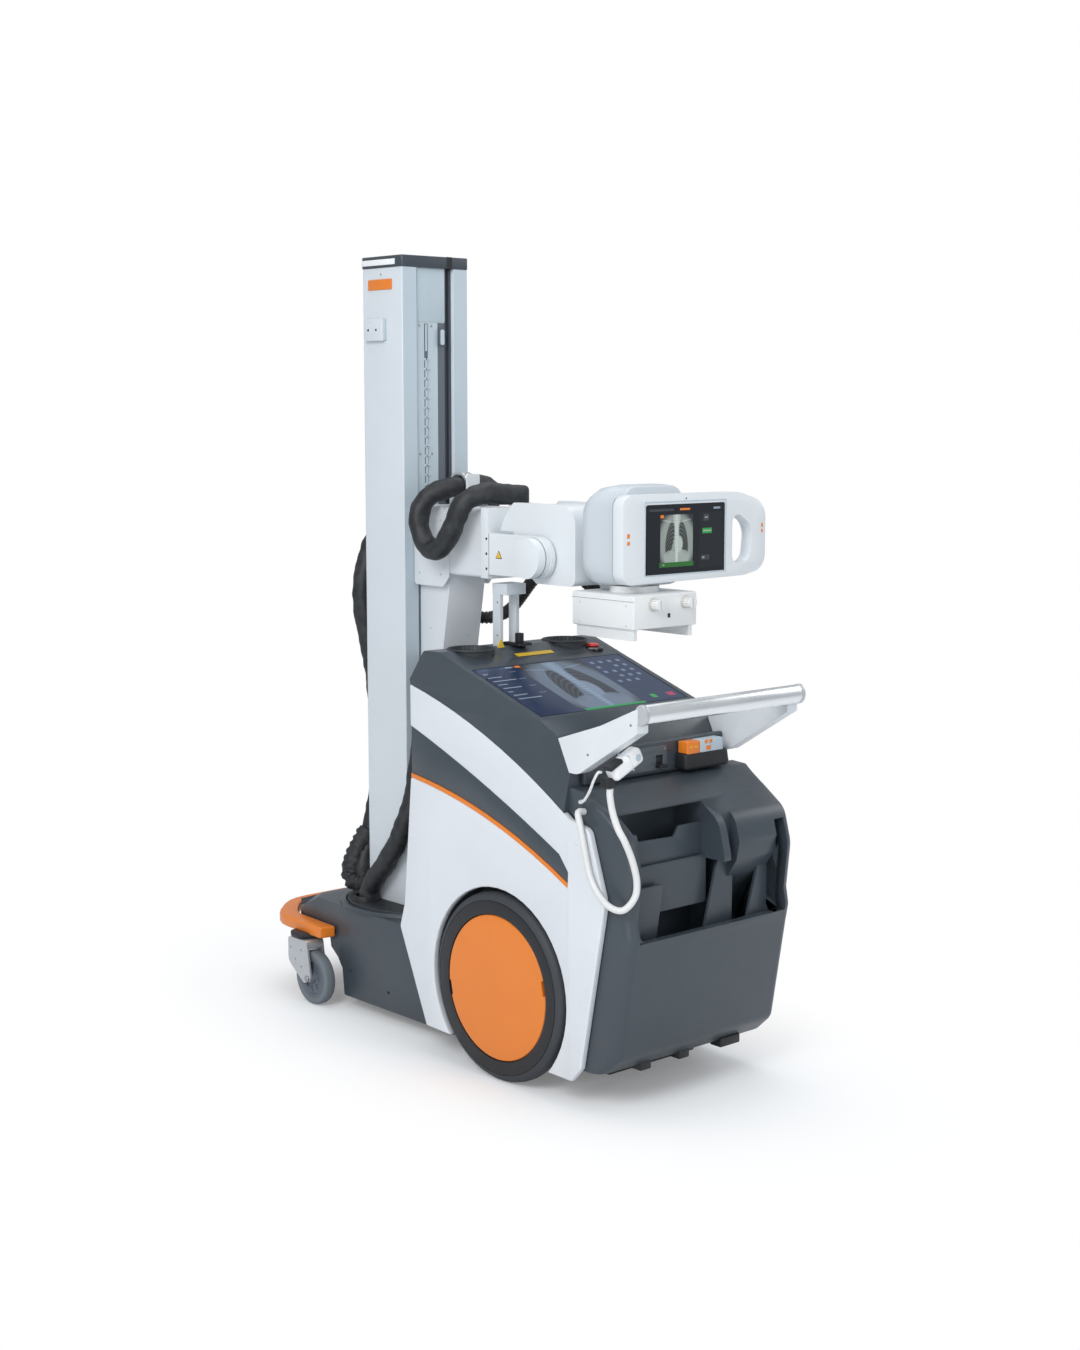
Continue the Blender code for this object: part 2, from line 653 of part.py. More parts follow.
def make_rear():
    panel = node(box("connector_panel", (-0.2345, -0.472, 0.7655), (0.2345, CONSOLE_REAR_Y - TOUCH, 0.846)),
                 "base", "slate")
    bevel(panel, 0.004, 1)
    for x in (-0.085, 0.010):
        cut(panel, tool(box("port", (x - 0.012, -0.48, 0.787), (x + 0.012, -0.462, 0.812))))
    cradle = node(box("detector_cradle", (0.062, -0.512, 0.770), (0.212, -0.4723, 0.812)), "base", "black")
    bevel(cradle, 0.006, 1)
    pack = node(box("detector_pack", (0.066, -0.508, 0.8123), (0.208, -0.476, 0.852)), "base", "orange")
    bevel(pack, 0.004, 1)

    outer = (
        (CABINET_REAR_Y - TOUCH, 0.095, 0.004),
        (CABINET_REAR_Y - TOUCH, 0.690, 0.0),
        (CONSOLE_REAR_Y - TOUCH, 0.7105, 0.0),
        (CONSOLE_REAR_Y - TOUCH, 0.765, 0.0),
        (-0.500, 0.762, 0.020),
        (-0.570, 0.712, 0.030),
        (-0.640, 0.660, 0.040),
        (-0.656, 0.590, 0.030),
        (-0.641, 0.500, 0.030),
        (BIN_LIP[0], BIN_LIP[1] + 0.015, 0.010),
        (BIN_LIP[0], BIN_LIP[1] - 0.020, 0.050),
        (-0.605, 0.140, 0.030),
        (-0.560, 0.095, 0.020),
    )
    body = node(plate("document_bin", outer, "YZ", -BIN_X, BIN_X), "base", "slate")
    inner_x = BIN_X - BIN_WALL
    # One cutter for each side of the divider: low x, high x, height of the opening's upper edge
    for low, high, top in ((-inner_x, DIVIDER_X[0], 0.698), (DIVIDER_X[1], inner_x, 0.645)):
        hollow = (
            (BIN_BACK_Y, BIN_FLOOR_Z, 0.004),
            (-0.600, BIN_FLOOR_Z, 0.004),
            (BIN_LIP[0] + 0.012, BIN_LIP[1], 0.0),
            (-0.700, BIN_LIP[1], 0.0),
            (-0.700, top, 0.0),
            (-0.560, top - 0.006, 0.030),
            (BIN_BACK_Y, top, 0.020),
        )
        cut(body, tool(plate("bin_hollow", hollow, "YZ", low, high)))
    front = (
        (-0.700, BIN_LIP[1], 0.0),
        (-0.700, 0.690, 0.0),
        (-0.548, 0.678, 0.020),
        (-0.556, 0.640, 0.020),
        (-0.606, 0.572, 0.020),
        (-0.616, BIN_LIP[1], 0.0),
    )
    cut(body, tool(plate("divider_front", front, "YZ", DIVIDER_X[0] - 0.001, DIVIDER_X[1] + 0.001)))
    # Tray of the upper pocket: floor and stepped front wall
    tray = (
        (BIN_BACK_Y + 0.001, TRAY_Z, 0.0),
        (TRAY_FRONT_Y, TRAY_Z, 0.008),
        (TRAY_FRONT_Y, TRAY_Z + 0.062, 0.004),
        (TRAY_FRONT_Y + POCKET_WALL, TRAY_Z + 0.062, 0.0),
        (TRAY_FRONT_Y + POCKET_WALL, TRAY_Z + POCKET_WALL, 0.0),
        (BIN_BACK_Y + 0.001, TRAY_Z + POCKET_WALL, 0.0),
    )
    join(body, tool(plate("bin_tray", tray, "YZ", -inner_x - 0.001, DIVIDER_X[0] + 0.001)))
    for low, high, top in ((-inner_x - 0.001, -0.170, 0.618), (-0.020, DIVIDER_X[0] + 0.001, 0.636)):
        join(body, tool(box("tray_step", (low, TRAY_FRONT_Y, TRAY_Z + 0.010),
                            (high, TRAY_FRONT_Y + POCKET_WALL, top))))
    low_wall = (
        (-inner_x - 0.001, BIN_FLOOR_Z - 0.001, 0.0),
        (-0.135, BIN_FLOOR_Z - 0.001, 0.0),
        (-0.135, TRAY_Z + 0.008, 0.014),
        (-inner_x - 0.001, TRAY_Z + 0.008, 0.0),
    )
    join(body, tool(plate("bin_low_wall", low_wall, "XZ", -0.616, -0.606)))
    right_block = (
        (BIN_BACK_Y + 0.001, BIN_FLOOR_Z - 0.001, 0.0),
        (BIN_BACK_Y + 0.001, 0.610, 0.0),
        (-0.540, 0.600, 0.020),
        (-0.606, 0.540, 0.020),
        (-0.616, BIN_LIP[1], 0.0),
        (-0.590, BIN_FLOOR_Z - 0.001, 0.0),
    )
    join(body, tool(plate("bin_right_block", right_block, "YZ", RIGHT_BLOCK_X, inner_x + 0.001)))


def make_handle():
    half_d = HANDLE_D / 2
    half_h = HANDLE_H / 2
    bar_rows = (
        (HANDLE_Y - half_d, HANDLE_Z - half_h, 0.016),
        (HANDLE_Y + half_d, HANDLE_Z - half_h, 0.016),
        (HANDLE_Y + half_d, HANDLE_Z + half_h, 0.016),
        (HANDLE_Y - half_d, HANDLE_Z + half_h, 0.016),
    )
    node(plate("handle_bar", bar_rows, "YZ", -HANDLE_HALF_L, HANDLE_HALF_L), "base", "aluminium")
    bracket_rows = (
        (-0.4558, 0.800, 0.0),
        (-0.4178, 0.876, 0.0),
        (-0.560, 0.922, 0.20),
        (HANDLE_Y - half_d + 0.002, HANDLE_Z + BRACKET_TIP, 0.014),
        (*BRACKET_UNDER[0], 0.020),
        (*BRACKET_UNDER[1], 0.040),
    )
    for side, sign in SIDES:
        low, high = sorted((sign * (HANDLE_HALF_L + TOUCH), sign * 0.270))
        bracket = node(plate("handle_bracket_" + side, bracket_rows, "YZ", low, high), "base", "white")
        bevel(bracket, 0.004, 1, 50)


def make_hand_switch():
    ends = [Vector((x, SWITCH_Y, z)) for x, z in (SWITCH_LOW, SWITCH_HIGH)]
    along = (ends[1] - ends[0]).normalized()
    turn = Matrix((along, Vector((0, 1, 0)), along.cross(Vector((0, 1, 0))))).transposed().to_4x4()
    length = (ends[1] - ends[0]).length
    half = SWITCH_T / 2
    switch = box("hand_switch", (-length / 2, -half, -half), (length / 2, half, half))
    switch.data.transform(Matrix.Translation((ends[0] + ends[1]) / 2) @ turn)
    node(switch, "base", "white")
    bevel(switch, 0.008, 2)

    (y0, z0), (y1, z1) = BRACKET_UNDER
    slope = (z1 - z0) / (y1 - y0)
    near = SWITCH_Y + half + HOLDER_WALL
    far = SWITCH_Y - half - HOLDER_WALL
    rows = (
        (near, HOLDER_BOTTOM_Z, 0.006),
        (near, z0 + slope * (near - y0) - TOUCH, 0.0),
        (far, z0 + slope * (far - y0) - TOUCH, 0.0),
        (far, HOLDER_BOTTOM_Z, 0.006),
    )
    holder = node(plate("switch_holder", rows, "YZ", *HOLDER_X), "base", "slate")
    half += TOUCH
    hole = box("holder_hole", (-length, -half, -half), (length, half, half))
    hole.data.transform(Matrix.Translation((ends[0] + ends[1]) / 2) @ turn)
    cut(holder, tool(hole))


# Base front and chassis

def make_base():
    rows = (
        (0.0405, COVER_UNDER_Z, 0.006),
        (0.0405, CABINET_BOTTOM_Z - TOUCH, 0.0),
        (0.0665, CABINET_BOTTOM_Z - TOUCH, 0.0),
        (0.1495, COVER_TOP_Z, 0.0),
        (0.700, COVER_TOP_Z, 0.080),
        (0.852, 0.232, 0.040),
        (0.884, NOSE_UNDER_Z, 0.004),
        (CASTER_WELL_Y + 0.074, NOSE_UNDER_Z, 0.0),
        (CASTER_WELL_Y + 0.066, 0.158, 0.0),
        (CASTER_WELL_Y + 0.032, 0.135, 0.0),
        (CASTER_WELL_Y + 0.008, 0.110, 0.0),
        (CASTER_WELL_Y, COVER_UNDER_Z, 0.006),
    )
    cover = node(plate("base_cover", rows, "YZ", -COVER_X, COVER_X), "base", "slate")
    nose = (
        (-COVER_X - 0.02, 0.00, 0.0),
        (COVER_X + 0.02, 0.00, 0.0),
        (COVER_X + 0.02, 0.50, 0.0),
        (COVER_X, 0.52, 0.10),
        (0.190, 0.760, 0.120),
        (0.090, 0.885, 0.120),
        (-0.090, 0.885, 0.120),
        (-0.190, 0.760, 0.120),
        (-COVER_X, 0.52, 0.10),
        (-COVER_X - 0.02, 0.50, 0.0),
    )
    boolean(cover, tool(plate("nose_plan", nose, "XY", 0.0, 0.4)), "INTERSECT")
    for turn in (NOSE_TURN, -NOSE_TURN):
        slope = plate("nose_slope", NOSE_SLOPE, "YZ", -0.4, 0.4)
        slope.data.transform(Matrix.Rotation(turn, 4, "Z"))
        cut(cover, tool(slope))

    strip = (
        (-0.248, 0.575, 0.006),
        (-0.196, 0.565, 0.0),
        (0.196, 0.565, 0.0),
        (0.248, 0.575, 0.006),
        (0.238, 0.790, 0.120),
        (0.120, BUMPER_FRONT_Y, 0.140),
        (-0.120, BUMPER_FRONT_Y, 0.140),
        (-0.238, 0.790, 0.120),
    )
    bumper = node(plate("bumper", strip, "XY", 0.1976, 0.1976 + BUMPER_T), "base", "orange")
    cut(bumper, tool(plate("bumper_inside", grown(nose, TOUCH), "XY", 0.18, 0.24)))

    beam_rows = (
        (-0.276, 0.640, 0.012),
        (-0.200, CASTER_WELL_Y + 0.0746, 0.020),
        (0.200, CASTER_WELL_Y + 0.0746, 0.020),
        (0.276, 0.640, 0.012),
        (0.276, 0.690, 0.020),
        (0.200, 0.720, 0.040),
        (-0.200, 0.720, 0.040),
        (-0.276, 0.690, 0.020),
    )
    node(plate("caster_beam", beam_rows, "XY", *BEAM_Z), "base", "black")

    ring = turned("column_ring", ((TURNTABLE_R + RING_W, COVER_TOP_Z + TOUCH + 0.010),
                                  (TURNTABLE_R + RING_W, COVER_TOP_Z + TOUCH),
                                  (TURNTABLE_R + RUNNING_GAP, COVER_TOP_Z + TOUCH),
                                  (TURNTABLE_R + RUNNING_GAP, COVER_TOP_Z + TOUCH + 0.010)),
                  (0, COLUMN_Y, 0), (0, 0, 1), 48)
    node(ring, "base", "black")

    frame = node(box("under_frame", (-0.150, -0.470, 0.045), (0.150, 0.040, 0.0747)), "base", "black")
    bevel(frame, 0.006, 1)


# Wheels

def make_rear_wheels():
    for side, sign in SIDES:
        body = "rear_wheel_" + side
        centre = (0.0, WHEEL_Y, WHEEL_R)
        out = WHEEL_OUT_X
        inside = WHEEL_OUT_X - WHEEL_W
        tyre = turned("rear_tyre_" + side, (
            (RIM_R, out - 0.004), (WHEEL_R - 0.024, out - 0.001), (WHEEL_R - 0.012, out - 0.003),
            (WHEEL_R - 0.003, out - 0.012), (WHEEL_R, out - 0.022), (WHEEL_R, inside + 0.012),
            (WHEEL_R - 0.006, inside + 0.002), (WHEEL_R - 0.021, inside), (RIM_R, inside + 0.003)),
            centre, (sign, 0, 0), 40)
        node(tyre, body, "rubber")
        disc = turned("rear_disc_" + side, (
            (0.0, out - 0.001), (DISC_R, out - 0.001), (DISC_R, out - 0.005), (RIM_R - TOUCH, out - 0.005),
            (RIM_R - TOUCH, inside + 0.006), (RIM_R - 0.040, inside + 0.006), (RIM_R - 0.050, out - 0.020),
            (AXLE_R + RUNNING_GAP, out - 0.020),
            (AXLE_R + RUNNING_GAP, out - 0.016), (0.0, out - 0.016)), centre, (sign, 0, 0), 40)
        node(disc, body, "orange")
        axle = turned("axle_" + side, (
            (0.0, out - 0.0165), (AXLE_R, out - 0.0165), (AXLE_R, WELL_WALL_X + 0.012),
            (0.045, WELL_WALL_X + 0.012), (0.045, WELL_WALL_X + TOUCH), (0.0, WELL_WALL_X + TOUCH)),
            centre, (sign, 0, 0), 30)
        node(axle, "base", "steel")


def make_casters():
    for side, sign in SIDES:
        x = sign * CASTER_X
        axle_y = CASTER_Y - CASTER_TRAIL
        plate_rows = (
            (CASTER_Y + 0.042, FORK_TOP_Z, 0.010),
            (CASTER_Y - 0.046, FORK_TOP_Z, 0.010),
            (axle_y - 0.016, CASTER_R - 0.004, 0.014),
            (axle_y + 0.018, CASTER_R - 0.016, 0.010),
            (CASTER_Y + 0.042, 0.110, 0.030),
        )
        body = "caster_" + side
        fork = node(plate("caster_fork_" + side, plate_rows, "YZ", x - FORK_HALF_W, x + FORK_HALF_W),
                    body, "aluminium")
        inner = FORK_HALF_W - FORK_PLATE_T
        cut(fork, tool(box("fork_gap_" + side, (x - inner, CASTER_Y - 0.20, 0.0),
                           (x + inner, CASTER_Y + 0.20, 0.158)), body))
        join(fork, tool(rod("fork_pin_" + side, (x - FORK_HALF_W - 0.002, axle_y, CASTER_R),
                            (x + FORK_HALF_W + 0.002, axle_y, CASTER_R), CASTER_BORE_R, 16), body))
        join(fork, tool(rod("fork_stem_" + side, (x, CASTER_Y, FORK_TOP_Z - 0.004),
                            (x, CASTER_Y, BEAM_Z[0] - TOUCH), 0.014, 20), body))
        wheel = "caster_wheel_" + side
        half = CASTER_W / 2
        centre = (x, axle_y, CASTER_R)
        tyre = turned("caster_tyre_" + side, (
            (0.056, half - 0.001), (0.070, half), (CASTER_R, half - 0.006), (CASTER_R, -half + 0.006),
            (0.070, -half), (0.056, -half + 0.001)), centre, (1, 0, 0), 28)
        node(tyre, wheel, "rubber")
        hub = turned("caster_hub_" + side, (
            (CASTER_BORE_R + RUNNING_GAP, half + 0.004), (0.014, half + 0.004),
            (0.048, half - 0.008), (0.050, half - 0.001), (0.056 - TOUCH, half - 0.001),
            (0.056 - TOUCH, -half + 0.001), (0.050, -half + 0.001), (0.048, -half + 0.008),
            (0.014, -half - 0.004), (CASTER_BORE_R + RUNNING_GAP, -half - 0.004)),
            centre, (1, 0, 0), 28)
        node(hub, wheel, "slate")


# Column

def make_column():
    bottom = COVER_TOP_Z + TOUCH
    table = turned("turntable", ((0.0, bottom + TURNTABLE_T), (TURNTABLE_R - 0.004, bottom + TURNTABLE_T),
                                 (TURNTABLE_R, bottom + TURNTABLE_T - 0.004), (TURNTABLE_R, bottom),
                                 (0.0, bottom)), (0, COLUMN_Y, 0), (0, 0, 1), 48)
    node(table, "column", "black")
    foot = bottom + TURNTABLE_T + TOUCH
    mast_rows = (
        (COLUMN_X, SLOT_FACE_Y, 0.004),
        (COLUMN_X, COLUMN_BACK_Y, 0.012),
        (-COLUMN_X, COLUMN_BACK_Y, 0.012),
        (-COLUMN_X, SLOT_FACE_Y, 0.004),
        (PLATE_X[0], SLOT_FACE_Y, 0.0),
        (PLATE_X[0], SLOT_FACE_Y + PLATE_SUNK, 0.0),
        (PLATE_X[1], SLOT_FACE_Y + PLATE_SUNK, 0.0),
        (GROOVE_X[0], SLOT_FACE_Y + GROOVE_DEPTH, 0.0),
        (GROOVE_X[1], SLOT_FACE_Y + GROOVE_DEPTH, 0.0),
        (GROOVE_X[1], SLOT_FACE_Y, 0.0),
    )
    top = COLUMN_TOP_Z - CAP_T - TOUCH
    node(plate("mast", mast_rows, "XY", foot, top), "column", "grey")
    cap_rows = (
        (COLUMN_X + 0.002, SLOT_FACE_Y - 0.002, 0.006),
        (COLUMN_X + 0.002, COLUMN_BACK_Y + 0.002, 0.014),
        (-COLUMN_X - 0.002, COLUMN_BACK_Y + 0.002, 0.014),
        (-COLUMN_X - 0.002, SLOT_FACE_Y - 0.002, 0.006),
    )
    node(plate("column_cap", cap_rows, "XY", COLUMN_TOP_Z - CAP_T, COLUMN_TOP_Z), "column", "slate")
    box_top = COLUMN_TOP_Z - JUNCTION_DROP
    node(box("junction_box", (-COLUMN_X - 0.012, 0.438, box_top - JUNCTION_H),
             (-COLUMN_X - TOUCH, 0.516, box_top)), "column", "white")
    node(box("chain_rail", (-0.046, SLOT_FACE_Y + 0.003, 0.500),
             (-0.030, SLOT_FACE_Y + PLATE_SUNK - TOUCH, COLUMN_TOP_Z - CHAIN_DROP)), "column", "steel")


def make_carriage():
    back = SLOT_FACE_Y - CARRIAGE_GAP
    block_rows = (
        (back, ARM_Z[1], 0.0),
        (back, 0.985, 0.0),
        (0.2700, 0.985, 0.0),
        (0.2360, 1.190, 0.0),
        (0.2360, ARM_Z[0] + 0.02, 0.0),
        (0.2360, ARM_Z[1], 0.0),
    )
    carriage = node(plate("carriage", block_rows, "YZ", -0.060, 0.060), "carriage", "white")
    arm = plate("arm_outer", (
        (-ARM_HALF_X, ARM_Z[0], 0.010), (ARM_HALF_X, ARM_Z[0], 0.010),
        (ARM_HALF_X, ARM_Z[1], 0.014), (-ARM_HALF_X, ARM_Z[1], 0.014)), "XZ", ARM_END_Y, back)
    join(carriage, tool(arm, "carriage"))
    bore_x = ARM_HALF_X - ARM_WALL
    bore = tool(box("arm_bore", (-bore_x, ARM_END_Y - 0.05, ARM_Z[0] + ARM_WALL),
                    (bore_x, back - 0.012, ARM_Z[1] - ARM_WALL)), "carriage")
    cut(carriage, bore)
    shoe = tool(box("carriage_shoe", (GROOVE_X[0] + RUNNING_GAP, back - 0.01, 1.02),
                    (GROOVE_X[1] - RUNNING_GAP, SLOT_FACE_Y + GROOVE_DEPTH - 0.006, 1.36)), "carriage")
    join(carriage, shoe)

    strap_rows = (
        (STRAP_Y - 0.037, ARM_Z[1] + TOUCH, 0.0),
        (STRAP_Y + 0.037, ARM_Z[1] + TOUCH, 0.0),
        (STRAP_Y + 0.037, STRAP_Z + 0.036, 0.030),
        (STRAP_Y - 0.037, STRAP_Z + 0.036, 0.030),
    )
    strap = node(plate("cable_strap", strap_rows, "YZ", STRAP_X - 0.015, STRAP_X + 0.015), "carriage", "white")
    cut(strap, tool(rod("strap_hole", (STRAP_X - 0.03, STRAP_Y + 0.004, STRAP_Z - 0.0015),
                        (STRAP_X + 0.03, STRAP_Y - 0.004, STRAP_Z + 0.001), BUNDLE_R + 0.003, 24), "carriage"))

    middle_x = bore_x - RUNNING_GAP
    middle_low = ARM_Z[0] + ARM_WALL + RUNNING_GAP
    middle_high = ARM_Z[1] - ARM_WALL - RUNNING_GAP
    middle = node(box("arm_middle", (-middle_x, ARM_END_Y - 0.002, middle_low),
                      (middle_x, back - 0.016, middle_high)), "arm_middle", "grey")
    bore_x = middle_x - ARM_WALL
    cut(middle, tool(box("middle_bore", (-bore_x, ARM_END_Y - 0.05, middle_low + ARM_WALL),
                         (bore_x, back, middle_high - ARM_WALL)), "arm_middle"))

    inner_x = bore_x - RUNNING_GAP
    inner_low = middle_low + ARM_WALL + RUNNING_GAP
    inner_high = middle_high - ARM_WALL - RUNNING_GAP
    fork = node(box("arm_fork", (-inner_x, 0.040, inner_low), (inner_x, back - 0.020, inner_high)),
                "arm_end", "white")
    plate_low = ARM_Z[0] + 0.003
    join(fork, tool(box("fork_back", (-FORK_OUT_X, 0.030, plate_low), (FORK_OUT_X, 0.056, 1.390)),
                    "arm_end"))
    reach = (BOX_Z[1] - BOX_Z[0]) / 2
    for side, sign in SIDES:
        low, high = sorted((sign * FORK_IN_X, sign * FORK_OUT_X))
        cheek = plate("fork_side_" + side, (
            (0.045, BOX_Z[0], 0.0), (0.045, BOX_Z[1], 0.0),
            (TILT_Y - reach, BOX_Z[1], reach - 0.001), (TILT_Y - reach, BOX_Z[0], reach - 0.001)),
            "YZ", low, high)
        join(fork, tool(cheek, "arm_end"))
        cap = rod("pivot_cap_" + side, (sign * (FORK_OUT_X - 0.004), TILT_Y, TILT_Z),
                  (sign * CAP_OUT_X, TILT_Y, TILT_Z), CAP_R, 32)
        join(fork, tool(cap, "arm_end"))
    gland = box("gland", (GLAND_X - CONDUIT_R - 0.002, GLAND_Y[0], GLAND_Z - CONDUIT_R - 0.002),
                (GLAND_X + CONDUIT_R + 0.002, GLAND_Y[1], BOX_Z[0] + 0.012))
    join(fork, tool(gland, "arm_end"))
    for side, sign in SIDES:
        hole = rod("pivot_hole_" + side, (sign * (FORK_IN_X - 0.01), TILT_Y, TILT_Z),
                   (sign * (FORK_OUT_X + 0.010), TILT_Y, TILT_Z), TRUNNION_R + RUNNING_GAP, 24)
        cut(fork, tool(hole, "arm_end"))


# Head

def arc_about(centre, radius, first, last, count):
    """Outline rows on an arc about a centre, angles in degrees."""
    rows = []
    for step in range(count + 1):
        angle = math.radians(first + (last - first) * step / count)
        rows.append((centre[0] + radius * math.cos(angle), centre[1] + radius * math.sin(angle), 0.0))
    return rows


def make_yoke():
    pivot = (TILT_Y, TILT_Z)
    top_angle = math.degrees(math.asin((YOKE_Z[1] - TILT_Z) / CHEEK_BACK_R))
    rows = [(YOKE_FRONT_Y, YOKE_Z[0], 0.020), (YOKE_FRONT_Y, YOKE_Z[1], 0.050)]
    rows += arc_about(pivot, CHEEK_BACK_R, top_angle, 20, 5)
    rows += arc_about(pivot, YOKE_BACK_R, 28, -24, 6)
    rows += [(-0.111, 1.224, 0.0), (-0.133, YOKE_Z[0], 0.0)]
    yoke = node(plate("yoke", rows, "YZ", -YOKE_X, YOKE_X), "yoke", "white")
    gap = tool(box("yoke_gap", (-CHEEK_IN_X, TILT_Y, 1.10), (CHEEK_IN_X, 0.10, 1.50)), "yoke")
    cut(gap, tool(rod("yoke_back", (-0.2, TILT_Y, TILT_Z), (0.2, TILT_Y, TILT_Z), YOKE_BACK_R, 40), "yoke"))
    cut(yoke, gap)
    join(yoke, tool(rod("trunnion", (-FORK_OUT_X - 0.008, TILT_Y, TILT_Z),
                        (FORK_OUT_X + 0.008, TILT_Y, TILT_Z), TRUNNION_R, 24), "yoke"))
    join(yoke, tool(rod("neck", (ROLL_X, YOKE_FRONT_Y + 0.03, ROLL_Z),
                        (ROLL_X, CASING_BACK_Y + TOUCH, ROLL_Z), NECK_R, 32), "yoke"))


def loft(name, stations, corner_steps=5):
    """Joins rounded rectangles: rows of y, left x, right x, low z, high z and corner radius."""
    mesh = bpy.data.meshes.new(name)
    shape = bmesh.new()
    rings = []
    for y, left, right, low, high, radius in stations:
        ring = []
        for cx, cz, first in ((right - radius, high - radius, 0), (left + radius, high - radius, 90),
                              (left + radius, low + radius, 180), (right - radius, low + radius, 270)):
            for step in range(corner_steps + 1):
                angle = math.radians(first + 90 * step / corner_steps)
                ring.append(shape.verts.new((cx + radius * math.cos(angle), y,
                                             cz + radius * math.sin(angle))))
        rings.append(ring)
    for front, back in zip(rings, rings[1:]):
        for index in range(len(front)):
            after = (index + 1) % len(front)
            shape.faces.new((front[index], front[after], back[after], back[index]))
    shape.faces.new(rings[0])
    shape.faces.new(rings[-1])
    bmesh.ops.recalc_face_normals(shape, faces=shape.faces)
    shape.to_mesh(mesh)
    shape.free()
    return mesh_object(name, mesh)


def make_head():
    casing = loft("tube_casing", (
        (CASING_BACK_Y, -0.084, 0.093, 1.226, 1.418, 0.050),
        (-0.316, -0.098, 0.107, 1.220, 1.438, 0.055),
        (-0.345, -0.107, 0.116, CASING_BOTTOM_Z, 1.452, 0.055),
        (-0.385, -0.108, 0.117, CASING_BOTTOM_Z, 1.459, 0.052),
        (-0.420, -0.107, 0.116, CASING_BOTTOM_Z, 1.459, 0.050),
        (BEZEL_BACK_Y + TOUCH, -0.114, 0.123, CASING_BOTTOM_Z, 1.456, 0.046)))
    node(casing, "head", "white")

    bezel_rows = (
        (-0.118, 1.226, 0.030), (0.300, 1.230, 0.10), (LOOP_X, 1.245, 0.045), (LOOP_X, 1.415, 0.060),
        (0.280, 1.446, 0.10), (-0.118, 1.448, 0.034))
    bezel = node(plate("head_bezel", bezel_rows, "XZ", BEZEL_FRONT_Y, BEZEL_BACK_Y), "head", "white")
    bevel(bezel, 0.007, 2, 50)
    loop = ((0.256, 1.262, 0.020), (0.320, 1.262, 0.030), (0.330, 1.352, 0.050), (0.256, 1.400, 0.020))
    cut(bezel, tool(plate("loop_opening", loop, "XZ", BEZEL_FRONT_Y - 0.02, BEZEL_BACK_Y + 0.02), "head"))
    cut(bezel, tool(box("display_seat", (-0.0433, BEZEL_FRONT_Y - 0.01, 1.2467),
                        (0.2293, BEZEL_FRONT_Y + 0.0053, 1.4173)), "head"))
    node(box("head_display", (-0.043, BEZEL_FRONT_Y + 0.0005, 1.247), (0.229, BEZEL_FRONT_Y + 0.005, 1.417)),
         "head", "screen")


def make_collimator():
    low, high = COLLIMATOR_Z
    left = ROLL_X - COLLIMATOR_HALF
    right = ROLL_X + COLLIMATOR_HALF
    body = node(box("collimator", (left, BEAM_Y - COLLIMATOR_HALF, low),
                    (right, BEAM_Y + COLLIMATOR_HALF, high)), "collimator", "white")
    bevel(body, 0.004, 2)
    ring = rod("collimator_ring", (ROLL_X, BEAM_Y, high - 0.01),
               (ROLL_X, BEAM_Y, CASING_BOTTOM_Z - TOUCH), COLLIMATOR_RING_R, 32)
    join(body, tool(ring, "collimator"))
    for side, sign in SIDES:
        x = ROLL_X + sign * (COLLIMATOR_HALF - 0.014)
        rail = box("collimator_rail_" + side, (x - 0.006, BEAM_Y - 0.098, COLLIMATOR_RAIL_Z),
                   (x + 0.006, BEAM_Y + 0.098, low + 0.006))
        join(body, tool(rail, "collimator"))
    for x in (-0.039, 0.069):
        knob = rod("collimator_knob", (x, BEAM_Y - COLLIMATOR_HALF + 0.01, 1.180),
                   (x, BEAM_Y - COLLIMATOR_HALF - KNOB_L, 1.180), KNOB_R, 20)
        join(body, tool(knob, "collimator"))


# Cords

